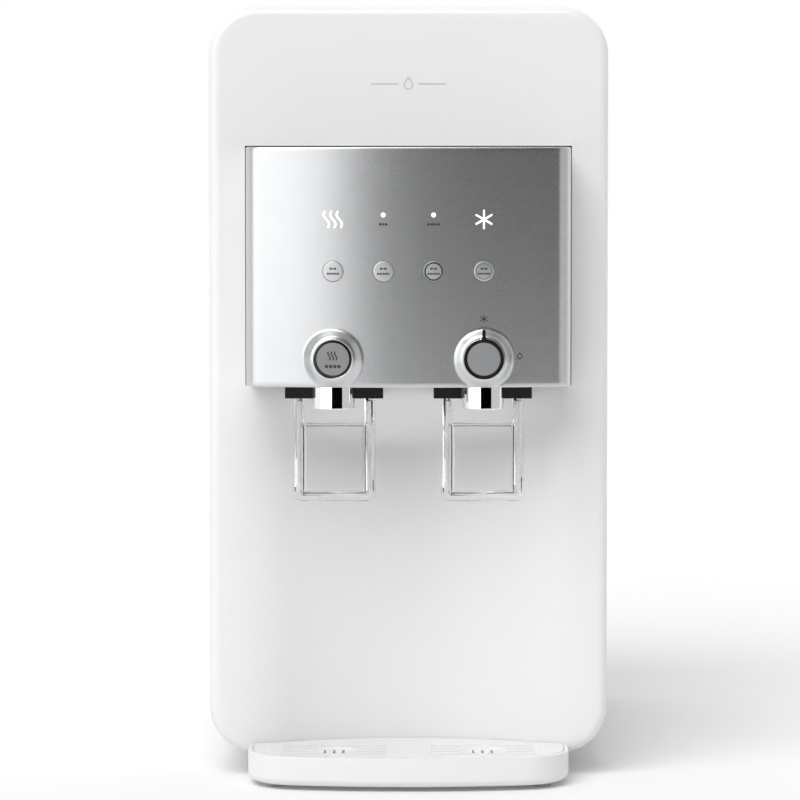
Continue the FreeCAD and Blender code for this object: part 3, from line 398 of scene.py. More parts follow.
def refined(node, body, slot, width, segments=2, below=1000.0):
    """A CAD node again, with its sharp edges softened up to a height over the table."""
    bm = bmesh.new()
    bm.from_mesh(frame["nodes"][node].data)
    bmesh.ops.remove_doubles(bm, verts=bm.verts, dist=WELD)
    bmesh.ops.dissolve_limit(bm, angle_limit=FLAT_ANGLE, verts=bm.verts, edges=bm.edges)
    corners = [e for e in bm.edges
               if len(e.link_faces) == 2 and e.calc_face_angle(0) > EDGE_ANGLE
               and max(v.co.z for v in e.verts) < below * MM]
    bmesh.ops.bevel(bm, geom=corners, offset=width * MM, offset_type="OFFSET",
                    segments=segments, profile=0.5, affect="EDGES", clamp_overlap=True)
    bmesh.ops.triangulate(bm, faces=[f for f in bm.faces if len(f.verts) > 4])
    return settle(node + "_soft", bm, body, slot, (node,))


def circle(cx, cy, radius, count):
    """Flat points round a circle."""
    return [(cx + radius * math.cos(2 * math.pi * k / count),
             cy + radius * math.sin(2 * math.pi * k / count)) for k in range(count)]


def ramp(low, high, count):
    """Evenly spaced numbers from low to high."""
    return [low + (high - low) * i / (count - 1) for i in range(count)]


def smooth(t):
    """Soft step from 0 to 1."""
    t = max(0.0, min(1.0, t))
    return t * t * (3 - 2 * t)


# ---------------------------------------------------------------- white body
def recess(x, z):
    """Depth of the hollow in the lower fascia."""
    run = abs(x)
    bowl_end = RECESS_BOWL_R * math.sin(RECESS_TURN)
    if run < bowl_end:
        depth = RECESS_D - RECESS_BOWL_R + math.sqrt(RECESS_BOWL_R ** 2 - run ** 2)
    elif run < RECESS_HALF_W:
        depth = RECESS_FLANK_R - math.sqrt(RECESS_FLANK_R ** 2 - (RECESS_HALF_W - run) ** 2)
    else:
        return 0.0
    return depth * (1 - smooth((z - RECESS_FULL_Z) / (RECESS_TOP_Z - RECESS_FULL_Z)))


def body_outline(inset):
    """Front outline of the body, moved inward."""
    cx, z0, z1 = HALF_W - CORNER_R, BASE_Z + CORNER_R, TOP_Z - CORNER_R
    loop = []
    radius = CORNER_R - inset
    for centre, start in (((cx, z0), -90), ((cx, z1), 0), ((-cx, z1), 90), ((-cx, z0), 180)):
        for k in range(13):
            a = math.radians(start + 7.5 * k)
            loop.append((centre[0] + radius * math.cos(a), centre[1] + radius * math.sin(a)))
        ahead = math.radians(start + 90)
        length = 2 * cx if start in (0, 180) else z1 - z0
        count = int(length / OUTLINE_STEP)
        x, z = loop[-1]
        for run in ramp(0, length, count + 1)[1:-1]:
            loop.append((x - math.sin(ahead) * run, z + math.cos(ahead) * run))
    return loop


def fascia_grid():
    """Points over the fascia's front, clear of its rim."""
    cx, cz0, cz1 = HALF_W - CORNER_R, BASE_Z + CORNER_R, TOP_Z - CORNER_R
    reach = CORNER_R - EDGE_R - 1.6
    grid = []
    for x in ramp(-HALF_W + 2, HALF_W - 2, 85):
        for z in ramp(BASE_Z + 2, TOP_Z - 2, 140):
            if math.hypot(max(abs(x) - cx, 0), max(cz0 - z, z - cz1, 0)) < reach:
                grid.append((x, z))
    return grid


def fascia():
    """White front cap with its soft rim and the smooth hollow where the cups stand."""
    rim = body_outline(EDGE_R)
    flat, triangles, _ = triangulate(rim, (), fascia_grid())
    points = [point(p[0], recess(p[0], p[1]), p[1]) for p in flat]
    faces = [tuple(t) for t in triangles]
    last = list(range(len(rim)))
    rows = [(EDGE_R * (1 - math.sin(a)), EDGE_R * (1 - math.cos(a)))
            for a in ramp(0, math.pi / 2, 7)[1:]]
    rows += [(0.0, EDGE_R + 8), (0.0, EDGE_R + 20), (0.0, FASCIA_D - 0.5), (0.4, FASCIA_D - 0.05)]
    for inset, depth in rows:
        start = len(points)
        for x, z in body_outline(inset):
            hollow = recess(x, z)
            points.append(point(x, hollow + depth * (1 - hollow / FASCIA_D), z))
        for k in range(len(rim)):
            n = (k + 1) % len(rim)
            faces.append((last[n], last[k], start + k, start + n))
        last = list(range(start, start + len(rim)))
    normals = normals_of(points, faces)
    outward = 1 if normals[len(flat) // 2].y < 0 else -1
    inner = [p - n * outward * WALL * MM for p, n in zip(points, normals)]
    piece("fascia_shell", *thicken(points, inner, faces), "root", "white_gloss",
          ("front_fascia",), even=False)


# ---------------------------------------------------------------- control head
def head_point(u, z, inset=0.0):
    """Point of the silver front, u along its plan from the middle."""
    side = -1 if u < 0 else 1
    run = abs(u)
    if run <= FRONT_RUN:
        angle = run / HEAD_R
        x = (HEAD_R - inset) * math.sin(angle)
        d = HEAD_MID_D - (HEAD_R - inset) * math.cos(angle)
    elif run <= FRONT_RUN + CORNER_RUN:
        angle = HEAD_TURN + (run - FRONT_RUN) / HEAD_CORNER_R
        x = CORNER_X + (HEAD_CORNER_R - inset) * math.sin(angle)
        d = CORNER_D - (HEAD_CORNER_R - inset) * math.cos(angle)
    else:
        x = HEAD_HALF_W - inset
        d = CORNER_D + (run - FRONT_RUN - CORNER_RUN)
    return side * x, d, z


def head_u(x):
    """Run along the silver front's plan that lies at x."""
    return math.copysign(HEAD_R * math.asin(abs(x) / HEAD_R), x)


def face_point(u, z, inset=0.0):
    """Point of the silver front with its two mounds, in the row frame."""
    x, d, _ = head_point(u, z, inset)
    for centre in (-TAP_X, TAP_X):
        away = math.hypot(x - centre, z - CONTROL_Z)
        if away < MOUND_BASE_R:
            rise = 1 - smooth((away - MOUND_TOP_R) / (MOUND_BASE_R - MOUND_TOP_R))
            d += (MOUND_FRONT + inset - d) * rise
    return point(x, d, z)


def wave_loops(cx, cz, half_h, pitch, stroke, swing):
    """Three S-shaped strokes of the hot symbol."""
    loops = []
    for centre in (cx - pitch, cx, cx + pitch):
        left, right = [], []
        for t in ramp(0, 1, 15):
            sway = swing * math.sin(2 * math.pi * t) + swing * 0.9 * (0.5 - t)
            z = cz - half_h + 2 * half_h * t
            half = stroke / 2 * math.sqrt(max(0.0, 1 - (2 * abs(t - 0.5)) ** 12)) + 0.02
            left.append((centre + sway - half, z))
            right.append((centre + sway + half, z))
        loops.append(anticlockwise(left + right[::-1]))
    return loops


def star_loop(cx, cz, reach, half):
    """Outline of the six-armed cold symbol."""
    loop = []
    for arm in range(6):
        a = math.radians(90 + 60 * arm)
        along, across = (math.cos(a), math.sin(a)), (-math.sin(a), math.cos(a))
        crotch = a - math.radians(30)
        loop.append((cx + 2 * half * math.cos(crotch), cz + 2 * half * math.sin(crotch)))
        for s, back in ((-1, 0.75), (-0.7, 0.2), (0, 0), (0.7, 0.2), (1, 0.75)):
            r = reach - back * half
            loop.append((cx + along[0] * r + across[0] * half * s,
                         cz + along[1] * r + across[1] * half * s))
    return loop


def head_runs():
    """Places along the silver front's plan, closer together round its corners."""
    corner = FRONT_RUN + CORNER_RUN
    right = ramp(FRONT_RUN, corner, 14)[1:] + ramp(corner, corner + SIDE_RUN, 4)[1:]
    return [-u for u in reversed(right)] + ramp(-FRONT_RUN, FRONT_RUN, 77) + right


def head_cuts():
    """Openings in the silver front, points round them, and discs that the grid keeps off."""
    holes = [circle(head_u(-TAP_X), CONTROL_Z, BUTTON_WELL_R, 64)]
    extra, discs = [], []
    for x in (-TAP_X, TAP_X):
        radii = [12.9] + ramp(MOUND_TOP_R, MOUND_BASE_R, 12) + [MOUND_BASE_R + 1.0]
        for radius in radii + ([3.0, 6.0, 9.0, 11.5] if x > 0 else []):
            extra += circle(head_u(x), CONTROL_Z, radius, 64 if radius > 8 else 24)
        discs.append((x, CONTROL_Z, MOUND_BASE_R + 1.4))
    for x in BUTTON_XS:
        holes.append(circle(head_u(x), BUTTON_Z, BUTTON_HOLE_R, 56))
        extra += circle(head_u(x), BUTTON_Z, BUTTON_HOLE_R + 0.9, 56)
        discs.append((x, BUTTON_Z, BUTTON_HOLE_R + 2.0))
    for x in LED_XS:
        holes.append(circle(head_u(x), LED_Z, LED_R, 28))
        extra += circle(head_u(x), LED_Z, LED_R + 0.6, 28)
        discs.append((x, LED_Z, LED_R + 1.6))
    return holes, extra, discs


def behind_top(z):
    """Height of the silver front's inner skin behind z, ending under the top's thickness."""
    bend = HEAD_Z1 - 20
    if z < bend:
        return z
    return bend + (z - bend) * (HEAD_Z1 - WALL - 1.2 - bend) / (HEAD_Z1 - TOP_ROUND - bend)


def head_front():
    """Silver front: bowed cap with mounds, button holes and flush light symbols."""
    runs = head_runs()
    width = len(runs)
    low, high = HEAD_Z0 + FOOT_ROUND, HEAD_Z1 - TOP_ROUND
    levels = ramp(low, high, 61)
    boundary = [(u, low) for u in runs] + [(runs[-1], z) for z in levels[1:]]
    boundary += [(u, high) for u in runs[-2::-1]] + [(runs[0], z) for z in levels[-2:0:-1]]
    holes, extra, discs = head_cuts()
    extra = [e for e in extra if low + 0.6 < e[1] < high - 0.6]
    symbols = wave_loops(head_u(-TAP_X), ICON_Z, 5.7, 4.15, 1.2, 1.4)
    symbols.append(star_loop(head_u(TAP_X), ICON_Z, 6.2, 0.6))
    grid = []
    for u in runs[1:-1]:
        x = head_point(u, 0)[0]
        grid += [(u, z) for z in levels[1:-1]
                 if all(math.hypot(x - cx, z - cz) > gap for cx, cz, gap in discs)]
    flat, triangles, held = triangulate(boundary, holes + symbols, grid + extra)

    panel = [tuple(t) for t, h in zip(triangles, held) if h < 0]
    inlay = [tuple(t) for t, h in zip(triangles, held) if h >= len(holes)]
    outer = [face_point(p[0], p[1]) for p in flat]
    inner = [face_point(p[0], behind_top(p[1]), WALL) for p in flat]
    guides = [[face_point(p[0], p[1], inset) for p in flat] for inset in (0.06, 2.2)]
    piece("icon_inlays", *thicken(*guides, inlay), "root", "light_white", ("icon_light_guides",))

    def add_row(previous, z, inset, inner_z, flip):
        """Joins one more row to the skin, and returns the numbers of its points."""
        start = len(outer)
        outer.extend(point(*head_point(u, z, inset)) for u in runs)
        inner.extend(point(*head_point(u, inner_z, WALL)) for u in runs)
        for k in range(width - 1):
            face = (previous[k], previous[k + 1], start + k + 1, start + k)
            panel.append(face[::-1] if flip else face)
        return list(range(start, start + width))

    bottom = list(range(width))
    for a in ramp(0, math.pi / 2, 4)[1:]:
        z = low - FOOT_ROUND * math.sin(a)
        bottom = add_row(bottom, z, FOOT_ROUND * (1 - math.cos(a)), z, True)
    first_top = width + len(levels) - 2
    top = [first_top + width - 1 - k for k in range(width)]
    for a in ramp(0, math.pi / 2, 5)[1:]:
        z = high + TOP_ROUND * math.sin(a)
        top = add_row(top, z, TOP_ROUND * (1 - math.cos(a)), z - WALL, False)

    rim = [head_point(u, 0, TOP_ROUND)[:2] for u in runs]
    lid = rim + [(x, CAP_BACK) for x in ramp(rim[-1][0], rim[0][0], 52)[1:-1]]
    lid_flat, lid_triangles, _ = triangulate(lid)
    shrink = (HEAD_HALF_W - WALL) / (HEAD_HALF_W - TOP_ROUND)
    numbers = list(top)
    for p in lid_flat[width:]:
        numbers.append(len(outer))
        outer.append(point(p[0], p[1], HEAD_Z1))
        inner.append(point(p[0] * shrink, p[1], HEAD_Z1 - WALL))
    panel += [tuple(numbers[i] for i in t) for t in lid_triangles]
    piece("silver_front", *thicken(outer, inner, panel), "root", "silver_satin",
          ("head_panel",), sharp=40, even=False)


def on_head(x, z, inset):
    """Point of the silver front at x and z, in front of the bowed surface or behind it."""
    return face_point(head_u(x), z, inset)


def printed(name, loops, material, body="root", slot="black_plastic", surface=on_head, lift=0.05):
    """Thin printed marks from flat loops of (x, z), or pairs of outline and hole, on a surface."""
    points, faces = [], []
    for loop in loops:
        outline, hole = loop if isinstance(loop, tuple) else (loop, None)
        flat, triangles, held = triangulate(outline, (hole,) if hole else ())
        inked = [tuple(t) for t, h in zip(triangles, held) if h < 0]
        more, walls = thicken([surface(p[0], p[1], -lift) for p in flat],
                              [surface(p[0], p[1], 0.04) for p in flat], inked)
        faces += [tuple(i + len(points) for i in f) for f in walls]
        points += more
    return piece(name, points, faces, body, slot, (), material, 60)


def bar(cx, cz, width, height):
    """Rounded bar as a flat loop."""
    w, h = width / 2, height / 2
    corners = [(cx - w, cz - h), (cx + w, cz - h), (cx + w, cz + h), (cx - w, cz + h)]
    return rounded(corners, min(w, h) * 0.7, True, 3)


def dashes(cx, cz, widths, height, gap=0.45):
    """A row of short bars, centred, in place of a printed word."""
    total = sum(widths) + gap * (len(widths) - 1)
    left = cx - total / 2
    row = []
    for width in widths:
        row.append(bar(left + width / 2, cz, width, height))
        left += width + gap
    return row


def drop_loop(cx, cz, radius, tip, count=28):
    """Outline of a water drop with its tip upward."""
    loop = []
    for k in range(count):
        a = 2 * math.pi * k / count
        stretch = max(0.0, math.cos(a)) ** 3 * (tip - radius)
        pinch = 1 - 0.35 * max(0.0, math.cos(a)) ** 2
        loop.append((cx + radius * math.sin(a) * pinch, cz + radius * math.cos(a) + stretch))
    return loop


def frame_of(loop, factor, cx, cz):
    """A loop and its copy scaled about a centre, which is the hole in it."""
    return loop, [(cx + (x - cx) * factor, cz + (z - cz) * factor) for x, z in loop]


def head_marks():
    """Generic marks on the head in place of its printed words."""
    marks = dashes(LED_XS[0], LABEL_Z, (1.6, 1.3, 1.7), LABEL_H)
    marks += dashes(LED_XS[1], LABEL_Z, (1.5, 2.0, 1.4, 1.6), LABEL_H)
    marks.append(star_loop(TAP_X, STAR_MARK_Z, 2.8, 0.32))
    marks.append(frame_of(drop_loop(*DROP_MARK_XZ, 1.7, 2.7), 0.66, *DROP_MARK_XZ))
    printed("head_print", marks, PRINT_DARK)


def button_face(x):
    """Surface of a function button at x: bulging a little, and slanted with the head's bow."""
    middle_d = head_point(head_u(x), 0)[1]

    def surface(px, pz, inset):
        crown = BUTTON_CROWN * ((px - x) ** 2 + (pz - BUTTON_Z) ** 2) / BUTTON_R ** 2
        return point(px, middle_d + (px - x) * x / HEAD_R - BUTTON_PROUD + crown + inset, pz)
    return surface


def function_button(name, x):
    """Small round button with two rows of dashes, and a ring where it has one."""
    surface = button_face(x)
    profile = [(0.0, 0.0)] + [(r, 0.0) for r in ramp(1.2, 6.1, 6)]
    profile += [(6.42, 0.12), (6.6, 0.42), (6.6, 5.6), (5.6, 5.9), (0.0, 5.9)]

    def turn(r, a, h):
        return surface(x + r * math.sin(a), BUTTON_Z + r * math.cos(a), h)

    piece(name + "_cap", *lathe(profile, turn, closed=False), name, "silver_button",
          (name + "_button",), sharp=50)
    marks = dashes(x, BUTTON_Z + 1.7, (1.5, 0.5, 1.6), 1.3, 0.35)
    marks += dashes(x, BUTTON_Z - 1.5, (1.2, 1.3, 0.35, 1.2, 1.3, 1.2), 1.3, 0.25)
    if name in BUTTON_RINGS:
        inner, outer = BUTTON_RINGS[name]
        marks.append(frame_of(circle(x, BUTTON_Z, outer, 64), inner / outer, x, BUTTON_Z))
    printed(name + "_print", marks, PRINT_DARK, name, "black_plastic", surface, 0.03)


def function_buttons():
    """The four function buttons, left to right."""
    for name, x in zip(("hot_power", "energy_save", "child_lock", "cold_power"), BUTTON_XS):
        function_button(name, x)


def lamp_lenses():
    """Two status lamp dots, slightly domed."""
    profile = [(0, -0.28), (0.6, -0.25), (1.1, -0.14), (1.4, 0.02), (1.5, 0.3), (1.5, 3.5),
               (0, 3.5)]
    points, faces = [], []
    for x in LED_XS:
        face_d = head_point(head_u(x), 0)[1]
        more, rings = lathe([(r, face_d + h) for r, h in profile], facing(x, LED_Z), False, 32)
        faces += [tuple(i + len(points) for i in f) for f in rings]
        points += more
    piece("lamp_dots", points, faces, "root", "light_white", ("status_led_lenses",))


def hot_button():
    """Push button: chrome ring, black body and grey disc with the hot symbol."""
    turn = facing(-TAP_X, CONTROL_Z)
    ring = rounded([(12.1, MOUND_FRONT + 0.6), (12.1, -65.9), (13.0, -65.9), (13.35, -64.9),
                    (13.35, MOUND_FRONT + 0.6)], 0.35, True)
    piece("hot_ring", *lathe(ring, turn), "root", "chrome", ("hot_button_ring",))
    body = [(0, -65.75), (10.5, -65.75)] + rounded(
        [(10.9, -65.75), (11.9, -65.6), (11.95, -55.2), (13.6, -54.9), (13.6, -53.0)], 0.3)
    body += [(3, -53.0), (3, -41.0), (0, -41.0)]
    piece("hot_button_body", *lathe(body, turn, False), "hot_button", "grey_button",
          ("hot_push_button",), MATERIALS["black_plastic"])
    disc = [(0, HOT_FRONT), (4, HOT_FRONT + 0.01), (8, HOT_FRONT + 0.05), (9.8, HOT_FRONT + 0.13),
            (10.25, HOT_FRONT + 0.25), (CAP_R, HOT_FRONT + 0.55), (CAP_R, HOT_FRONT + 0.85),
            (0, HOT_FRONT + 0.85)]
    piece("hot_button_disc", *lathe(disc, turn, False), "hot_button", "grey_button")

    def on_disc(x, z, inset):
        away = (x + TAP_X) ** 2 + (z - CONTROL_Z) ** 2
        return point(x, HOT_FRONT + 0.0012 * away + inset, z)

    marks = wave_loops(-TAP_X - 0.3, CONTROL_Z + 2.1, 3.0, 2.1, 0.95, 0.6)
    marks += dashes(-TAP_X, CONTROL_Z - 4.6, (2.1, 2.2, 2.0, 2.2), 2.0, 0.5)
    printed("hot_button_print", marks, PRINT_DARK, "hot_button", "black_plastic", on_disc, 0.03)


def teardrop(radius, half, spread, shoulder, tip, grow, count=96):
    """Outline of the knob: a circle that flares upward into a slim pointer."""
    right = []
    heights = [tip - (tip - shoulder) * (1 - (1 - k / 30) ** 1.6) for k in range(31)]
    for h in heights:
        flare = spread * max(0.0, (14.6 - h) / 3.3) ** 2
        cap = math.sqrt(max(0.0, 1 - max(0.0, (h - (tip - half - grow)) / (half + grow)) ** 2))
        w = (half + grow + flare) * cap
        if h < radius:
            w = max(w, math.sqrt(max(0.0, radius ** 2 - h ** 2)))
        right.append((w, h))
    last = right[-1]
    start = math.atan2(last[0], last[1])
    arc = [(radius * math.sin(a), radius * math.cos(a)) for a in ramp(start, math.pi, count // 2)]
    right += arc[1:]
    left = [(-x, z) for x, z in right[-2:0:-1]]
    return right + left


def selector():
    """Selector knob: chrome outline, black inside with the pointer line, grey cap."""
    def at_depth(outline, d):
        return [point(TAP_X + x, d, CONTROL_Z + z) for x, z in outline]

    outer = teardrop(12.95, 0.5, 2.6, 11.6, 19.15, 0.7)
    trimmed = teardrop(12.75, 0.5, 2.6, 11.5, 18.98, 0.52)
    black = teardrop(11.95, 0.45, 2.6, 10.9, 18.5, 0.0)
    sunk = at_depth(black, KNOB_FRONT + 0.5)
    rim = [at_depth(outer, MOUND_FRONT - 0.3), at_depth(outer, KNOB_FRONT + 0.25),
           at_depth(trimmed, KNOB_FRONT), at_depth(black, KNOB_FRONT), sunk]
    piece("selector_rim", *loft(rim), "knob", "chrome", ("selector_knob",), sharp=50)
    fill = [sunk, at_depth(black, KNOB_FRONT + 0.12)]
    piece("selector_face", *loft(fill), "knob", "chrome", (), MATERIALS["black_plastic"], 50)
    cap = KNOB_FRONT - 0.4
    disc = [(0, cap), (5, cap + 0.01), (9, cap + 0.08), (10.1, cap + 0.2), (CAP_R, cap + 0.5),
            (CAP_R, cap + 0.7), (0, cap + 0.7)]
    piece("selector_cap", *lathe(disc, facing(TAP_X, CONTROL_Z), False), "knob", "grey_button",
          ("selector_knob_cap",))


# ---------------------------------------------------------------- taps
def spouts():
    """Chrome spouts with the water nozzle inside."""
    inner, roof, nozzle_z = SPOUT_R - SPOUT_WALL, HEAD_Z0, SPOUT_Z + 2
    profile = rounded([
        (SPOUT_R, SPOUT_TOP), (SPOUT_R, SPOUT_Z), (inner, SPOUT_Z), (inner, roof),
        (NOZZLE_R, roof), (NOZZLE_R, nozzle_z), (NOZZLE_BORE_R, nozzle_z),
        (NOZZLE_BORE_R, SPOUT_TOP)], 0.7, True)
    for name, x in (("hot", -TAP_X), ("cold", TAP_X)):
        piece(name + "_spout_shell", *lathe(profile, upright(x, SPOUT_D), steps=96), "root",
              "chrome", (name + "_spout",))


def head_and_taps():
    """Softened copies of the head's and taps' moulded parts."""
    # The black trim frame lines the gap round the silver front's edge, where there is only shade:
    # its black is painted shade that deepens that gap line.
    refined("head_trim_frame", "root", "black_plastic", 0.25)
    refined("head_housing", "root", "white_gloss", 0.5)
    refined("head_base_plate", "root", "black_plastic", 0.2)
    refined("lever_brackets", "root", "black_plastic", 0.45)
    for name in ("hot", "cold"):
        lever = refined(name + "_lever", name + "_lever", "clear_plastic", 0.5, 3,
                        LEVER_SOFT_TOP)
        lever.visible_shadow = lever.visible_diffuse = False


# ---------------------------------------------------------------- drip tray
def wall_depth(x, offset):
    """Depth of the hollow's wall at x, seen in plan, moved by offset."""
    run = abs(x)
    bowl = RECESS_BOWL_R + offset
    if run < bowl * math.sin(RECESS_TURN):
        return RECESS_D - RECESS_BOWL_R + math.sqrt(bowl ** 2 - run ** 2)
    flank = RECESS_FLANK_R - offset
    return RECESS_FLANK_R - math.sqrt(max(0.0, flank ** 2 - (RECESS_HALF_W - run) ** 2))


def tray_outline(inset):
    """Plan outline of the tray: bowed front, round corners, back along the hollow."""
    centre_d = TRAY_FRONT_R - TRAY_REACH
    corner_x = TRAY_HALF_W - TRAY_CORNER_R
    corner_d = centre_d - math.sqrt((TRAY_FRONT_R - TRAY_CORNER_R) ** 2 - corner_x ** 2)
    turn = math.asin(corner_x / (TRAY_FRONT_R - TRAY_CORNER_R))
    front, corner = TRAY_FRONT_R - inset, TRAY_CORNER_R - inset
    side = TRAY_HALF_W - inset
    end = wall_depth(side, -0.5 - inset)
    flank = [(corner_x + corner * math.sin(a), corner_d - corner * math.cos(a))
             for a in ramp(turn, math.pi / 2, 15)[1:]]
    flank += [(side, d) for d in ramp(corner_d, end, 11)[1:]]
    loop = [(front * math.sin(a), centre_d - front * math.cos(a)) for a in ramp(-turn, turn, 37)]
    loop += flank
    loop += [(x, wall_depth(x, -0.5 - inset)) for x in ramp(side, -side, 61)[1:-1]]
    loop += [(-x, d) for x, d in reversed(flank)]
    return loop


def drip_tray():
    """Basin with a rounded underside, a soft rim and the ledge for the grille."""
    rows = [(5 * (1 - math.sin(a)), TRAY_BASE + 5 * (1 - math.cos(a)))
            for a in ramp(0, math.pi / 2, 8)]
    rows += [(0, 10), (0, TRAY_TOP - 0.8), (0.24, TRAY_TOP - 0.22), (0.8, TRAY_TOP)]
    rows += [(2.6, TRAY_TOP), (2.9, TRAY_TOP - 0.12), (3.0, TRAY_TOP - 0.5)]
    ledge = TRAY_TOP - GRILLE_T
    rows += [(3.0, ledge + 0.1), (3.1, ledge), (5.8, ledge), (6.0, ledge - 0.2), (6.0, 7.5)]
    rows += [(6 + 2.5 * (1 - math.cos(a)), 7.5 - 2.5 * math.sin(a))
             for a in ramp(0, math.pi / 2, 5)[1:]]
    skin = [[point(x, d, z) for x, d in tray_outline(inset)] for inset, z in rows]
    piece("tray_basin", *loft(skin), "tray", "white_gloss", ("drip_tray",))


def tray_tongues():
    """Two flat tongues that guide the tray under the body, rounded at their ends."""
    for side, middle in zip(("left", "right"), TONGUE_XS):
        x0, x1 = middle - 10, middle + 10
        corners = rounded([(x0, 3), (x1, 3), (x1, 10), (x0, 10)], 1.2, True)
        rows = [[point(x, d, z) for x, z in corners] for d in (23, TONGUE_BACK - 0.4)]
        rows.append([point(x * 0.997 + middle * 0.003, TONGUE_BACK, 6.5 + (z - 6.5) * 0.9)
                     for x, z in corners])
        piece("tray_tongue_" + side, *loft(rows), "tray", "white_gloss",
              ("tray_tongues",) if side == "right" else ())


def grille_slots():
    """Slots of the grille and of its targets, each as (x, d, width, depth)."""
    slots = []
    for target in (-TAP_X, TAP_X):
        slots += [(target + shift, TARGET_D, *TARGET_SLOT) for shift in (-6, 0, 6)]
        for i in range(-3, 4):
            d = TARGET_D + SLOT_PITCH * i
            clear = math.sqrt(max(TARGET_R ** 2 - (d - TARGET_D) ** 2, 0)) + 3
            for low, high in ((-SLOT_REACH, -clear), (clear, SLOT_REACH)):
                slots.append((target + (low + high) / 2, d, high - low, SLOT_W))
    return slots


def drip_grille():
    """Lift-out plate with slots and a dished target under each tap."""
    slots = grille_slots()
    targets = (-TAP_X, TAP_X)

    def off_target(x, d):
        return min(math.hypot(x - t, d - TARGET_D) for t in targets) - TARGET_R

    def plain(x, d):
        """Whether the plate is flat and whole at a place."""
        on_plate = -60 + x * x / 760 < d < wall_depth(x, -6)
        off_slots = all(abs(x - sx) > w / 2 + 0.7 or abs(d - sd) > h / 2 + 0.7
                        for sx, sd, w, h in slots)
        return on_plate and off_target(x, d) > 1.4 and off_slots

    def top(x, d):
        """Plate surface, dished at the targets."""
        dish = 0.9 * (1 - smooth((off_target(x, d) + 1.6) / 1.6))
        return point(x, d, TRAY_TOP - 0.03 - dish)

    extra = [p for t in targets for step in (-1.6, -1.1, -0.55, 0.0, 0.6)
             for p in circle(t, TARGET_D, TARGET_R + step, 72)]
    extra += [(x, d) for d in ramp(-60, 20, 21) for x in ramp(-96, 96, 49) if plain(x, d)]
    flat, triangles, held = triangulate(tray_outline(3.3), [bar(*s) for s in slots], extra)
    plate = [tuple(t) for t, h in zip(triangles, held) if h < 0]
    shell = thicken([top(p[0], p[1]) for p in flat],
                    [point(p[0], p[1], TRAY_TOP - GRILLE_T + 0.03) for p in flat], plate)
    piece("grille_plate", *shell, "grille", "white_gloss", ("drip_grille",))


# ---------------------------------------------------------------- rest of the body
def body_parts():
    """Softened copies of the outer panels and the parts at the back and underneath."""
    for node, body, slot, width, segments in (
            ("left_side_panel", "root", "white_satin", 0.35, 2),
            ("right_side_panel", "root", "white_satin", 0.35, 2),
            ("top_cover", "cover", "white_satin", 0.35, 2),
            ("rear_panel", "root", "white_satin", 0.25, 2),
            ("wall_spacers", "root", "white_satin", 0.8, 3),
            ("base_pan", "root", "black_plastic", 0.3, 2),
            ("power_inlet", "root", "black_plastic", 0.25, 2),
            ("power_rocker", "rocker", "black_plastic", 0.5, 3),
            ("tube_fittings", "root", "white_satin", 0.5, 2),
            ("rubber_feet", "root", "black_rubber", 0.4, 2),
            ("tray_pads", "tray", "pale_rubber", 0.15, 2)):
        refined(node, body, slot, width, segments)


def fascia_mark():
    """Pale generic mark on the upper fascia: a drop between two lines."""
    drop_z = MARK_Z - 0.6
    loops = [frame_of(drop_loop(0, drop_z, 3.2, 5.2, 40), 0.72, 0, drop_z)]
    loops += [bar(x, MARK_Z, 18.0, 0.9) for x in (-15.5, 15.5)]
    printed("fascia_print", loops, PRINT_PALE, "root", "white_gloss",
            lambda x, z, inset: point(x, inset, z), 0.06)


def keep_cad_nodes():
    """Gives every CAD node that stays in view the finish of its slot."""
    for row in frame["record"]["subparts"]:
        node = frame["nodes"].get(row.get("node") or row.get("name"))
        slot = row.get("material_slot")
        if node is not None and slot in MATERIALS:
            node.data.materials.clear()
            node.data.materials.append(MATERIALS[slot])


# ---------------------------------------------------------------- stage
def card(name, corners, radiance):
    """Flat studio panel, seen in reflections and through clear plastic, but lighting nothing."""
    mesh = bpy.data.meshes.new(name)
    mesh.from_pydata([Vector(c) for c in corners], [], [tuple(range(len(corners)))])
    mat = bpy.data.materials.new(name)
    mat.use_nodes = True
    nodes, links = mat.node_tree.nodes, mat.node_tree.links
    nodes.remove(nodes["Principled BSDF"])
    glow = nodes.new("ShaderNodeEmission")
    set_inputs(glow, Color=(1, 1, 1, 1), Strength=radiance)
    links.new(glow.outputs["Emission"], nodes["Material Output"].inputs["Surface"])
    mesh.materials.append(mat)
    obj = bpy.data.objects.new(name, mesh)
    bpy.context.scene.collection.objects.link(obj)
    obj.visible_camera = obj.visible_diffuse = obj.visible_shadow = False


def bend_card(name, azimuths, top, radiance):
    """Curved vertical panel round the front of the object, by azimuth in degrees."""
    ends = [(CARD_R * math.sin(math.radians(t)),
             CARD_CENTRE_Y - CARD_R * math.cos(math.radians(t))) for t in azimuths]
    for i, (a, b) in enumerate(zip(ends, ends[1:])):
        card(f"{name}_{i}", [(*a, 0.0), (*b, 0.0), (*b, top), (*a, top)], radiance)


def floor():
    """Plain pale floor."""
    mesh = bpy.data.meshes.new("floor")
    size = 30
    mesh.from_pydata([(-size, -size, 0), (size, -size, 0), (size, size, 0), (-size, size, 0)],
                     [], [(0, 1, 2, 3)])
    mesh.materials.append(finish("floor", (0.80, 0.80, 0.80), 0.9, spread=0.004, bump=0.0,
                                 mottle=2.0, grain=40.0, Specular_IOR_Level=0.15,
                                 Emission_Color=(1, 1, 1, 1), Emission_Strength=0.07))
    obj = bpy.data.objects.new("floor", mesh)
    bpy.context.scene.collection.objects.link(obj)


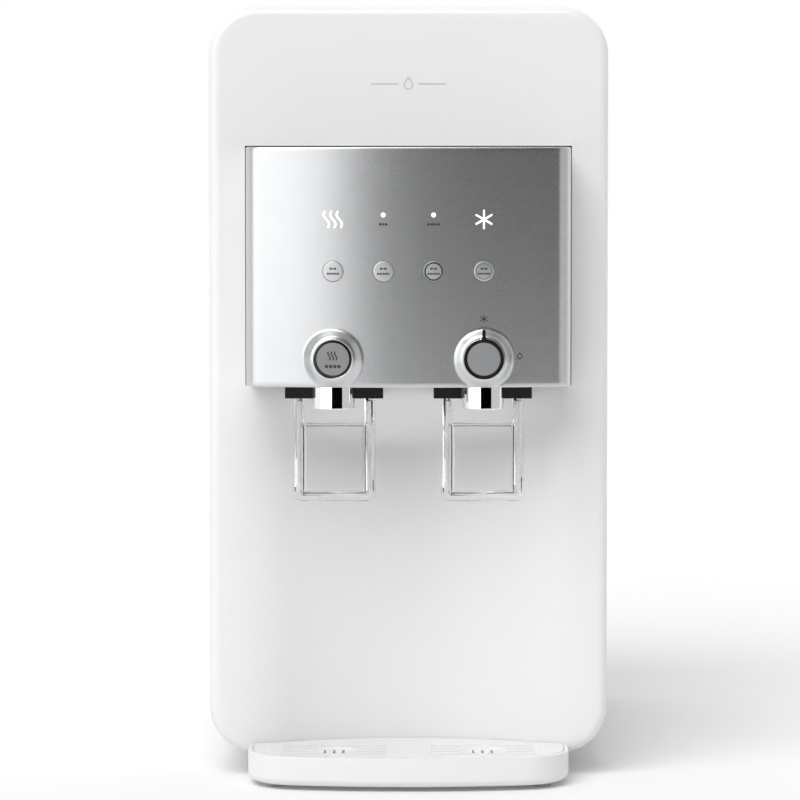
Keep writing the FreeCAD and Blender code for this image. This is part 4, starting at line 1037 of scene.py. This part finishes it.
def world(front, back):
    """White surroundings: pure white to the camera, and as light brighter at the back."""
    surroundings = bpy.data.worlds.new("studio")
    bpy.context.scene.world = surroundings
    surroundings.use_nodes = True
    nodes, links = surroundings.node_tree.nodes, surroundings.node_tree.links
    soft = nodes["Background"]
    soft.inputs["Color"].default_value = (1, 1, 1, 1)
    where = nodes.new("ShaderNodeTexCoord")
    axes = nodes.new("ShaderNodeSeparateXYZ")
    fade = nodes.new("ShaderNodeMapRange")
    set_inputs(fade, From_Min=-0.25, From_Max=0.35, To_Min=front, To_Max=back)
    links.new(where.outputs["Generated"], axes.inputs["Vector"])
    links.new(axes.outputs["Y"], fade.inputs["Value"])
    links.new(fade.outputs["Result"], soft.inputs["Strength"])
    seen = nodes.new("ShaderNodeBackground")
    set_inputs(seen, Color=(1, 1, 1, 1), Strength=1.0)
    path = nodes.new("ShaderNodeLightPath")
    mix = nodes.new("ShaderNodeMixShader")
    links.new(path.outputs["Is Camera Ray"], mix.inputs["Fac"])
    links.new(soft.outputs["Background"], mix.inputs[1])
    links.new(seen.outputs["Background"], mix.inputs[2])
    links.new(mix.outputs["Shader"], nodes["World Output"].inputs["Surface"])


def sun(name, direction, strength, spread):
    """Distant soft light."""
    data = bpy.data.lights.new(name, "SUN")
    data.energy = strength
    data.angle = math.radians(spread)
    obj = bpy.data.objects.new(name, data)
    obj.rotation_mode = "QUATERNION"
    obj.rotation_quaternion = Vector(direction).to_track_quat("-Z", "Y")
    bpy.context.scene.collection.objects.link(obj)


def camera():
    """Long lens, a little above the middle and looking slightly down."""
    data = bpy.data.cameras.new("camera")
    data.lens = LENS_MM
    data.sensor_width = SENSOR_MM
    data.shift_x = SHIFT_X
    obj = bpy.data.objects.new("camera", data)
    obj.location = (0.0, FASCIA_Y * MM - CAMERA_BACK, CAMERA_Z)
    obj.rotation_euler = (math.radians(90 - CAMERA_DOWN), 0, 0)
    bpy.context.scene.collection.objects.link(obj)
    bpy.context.scene.camera = obj
    bpy.context.scene.view_settings.view_transform = "Standard"


keep_cad_nodes()
fascia()
head_front()
head_marks()
function_buttons()
lamp_lenses()
hot_button()
selector()
spouts()
head_and_taps()
drip_tray()
tray_tongues()
drip_grille()
body_parts()
fascia_mark()

floor()
world(0.24, 0.95)
sun("key", (0.35, 0.8, -1.0), 2.5, 50)
bend_card("near_softbox", (-75, -60, -45, -30, -12), 1.9, 1.75)
bend_card("flag", (-12, -2, 8, 17, 26, 36, 46), 3.0, 0.0)
bend_card("far_softbox", (46, 60, 75, 90, 105), 1.9, 0.6)
camera()
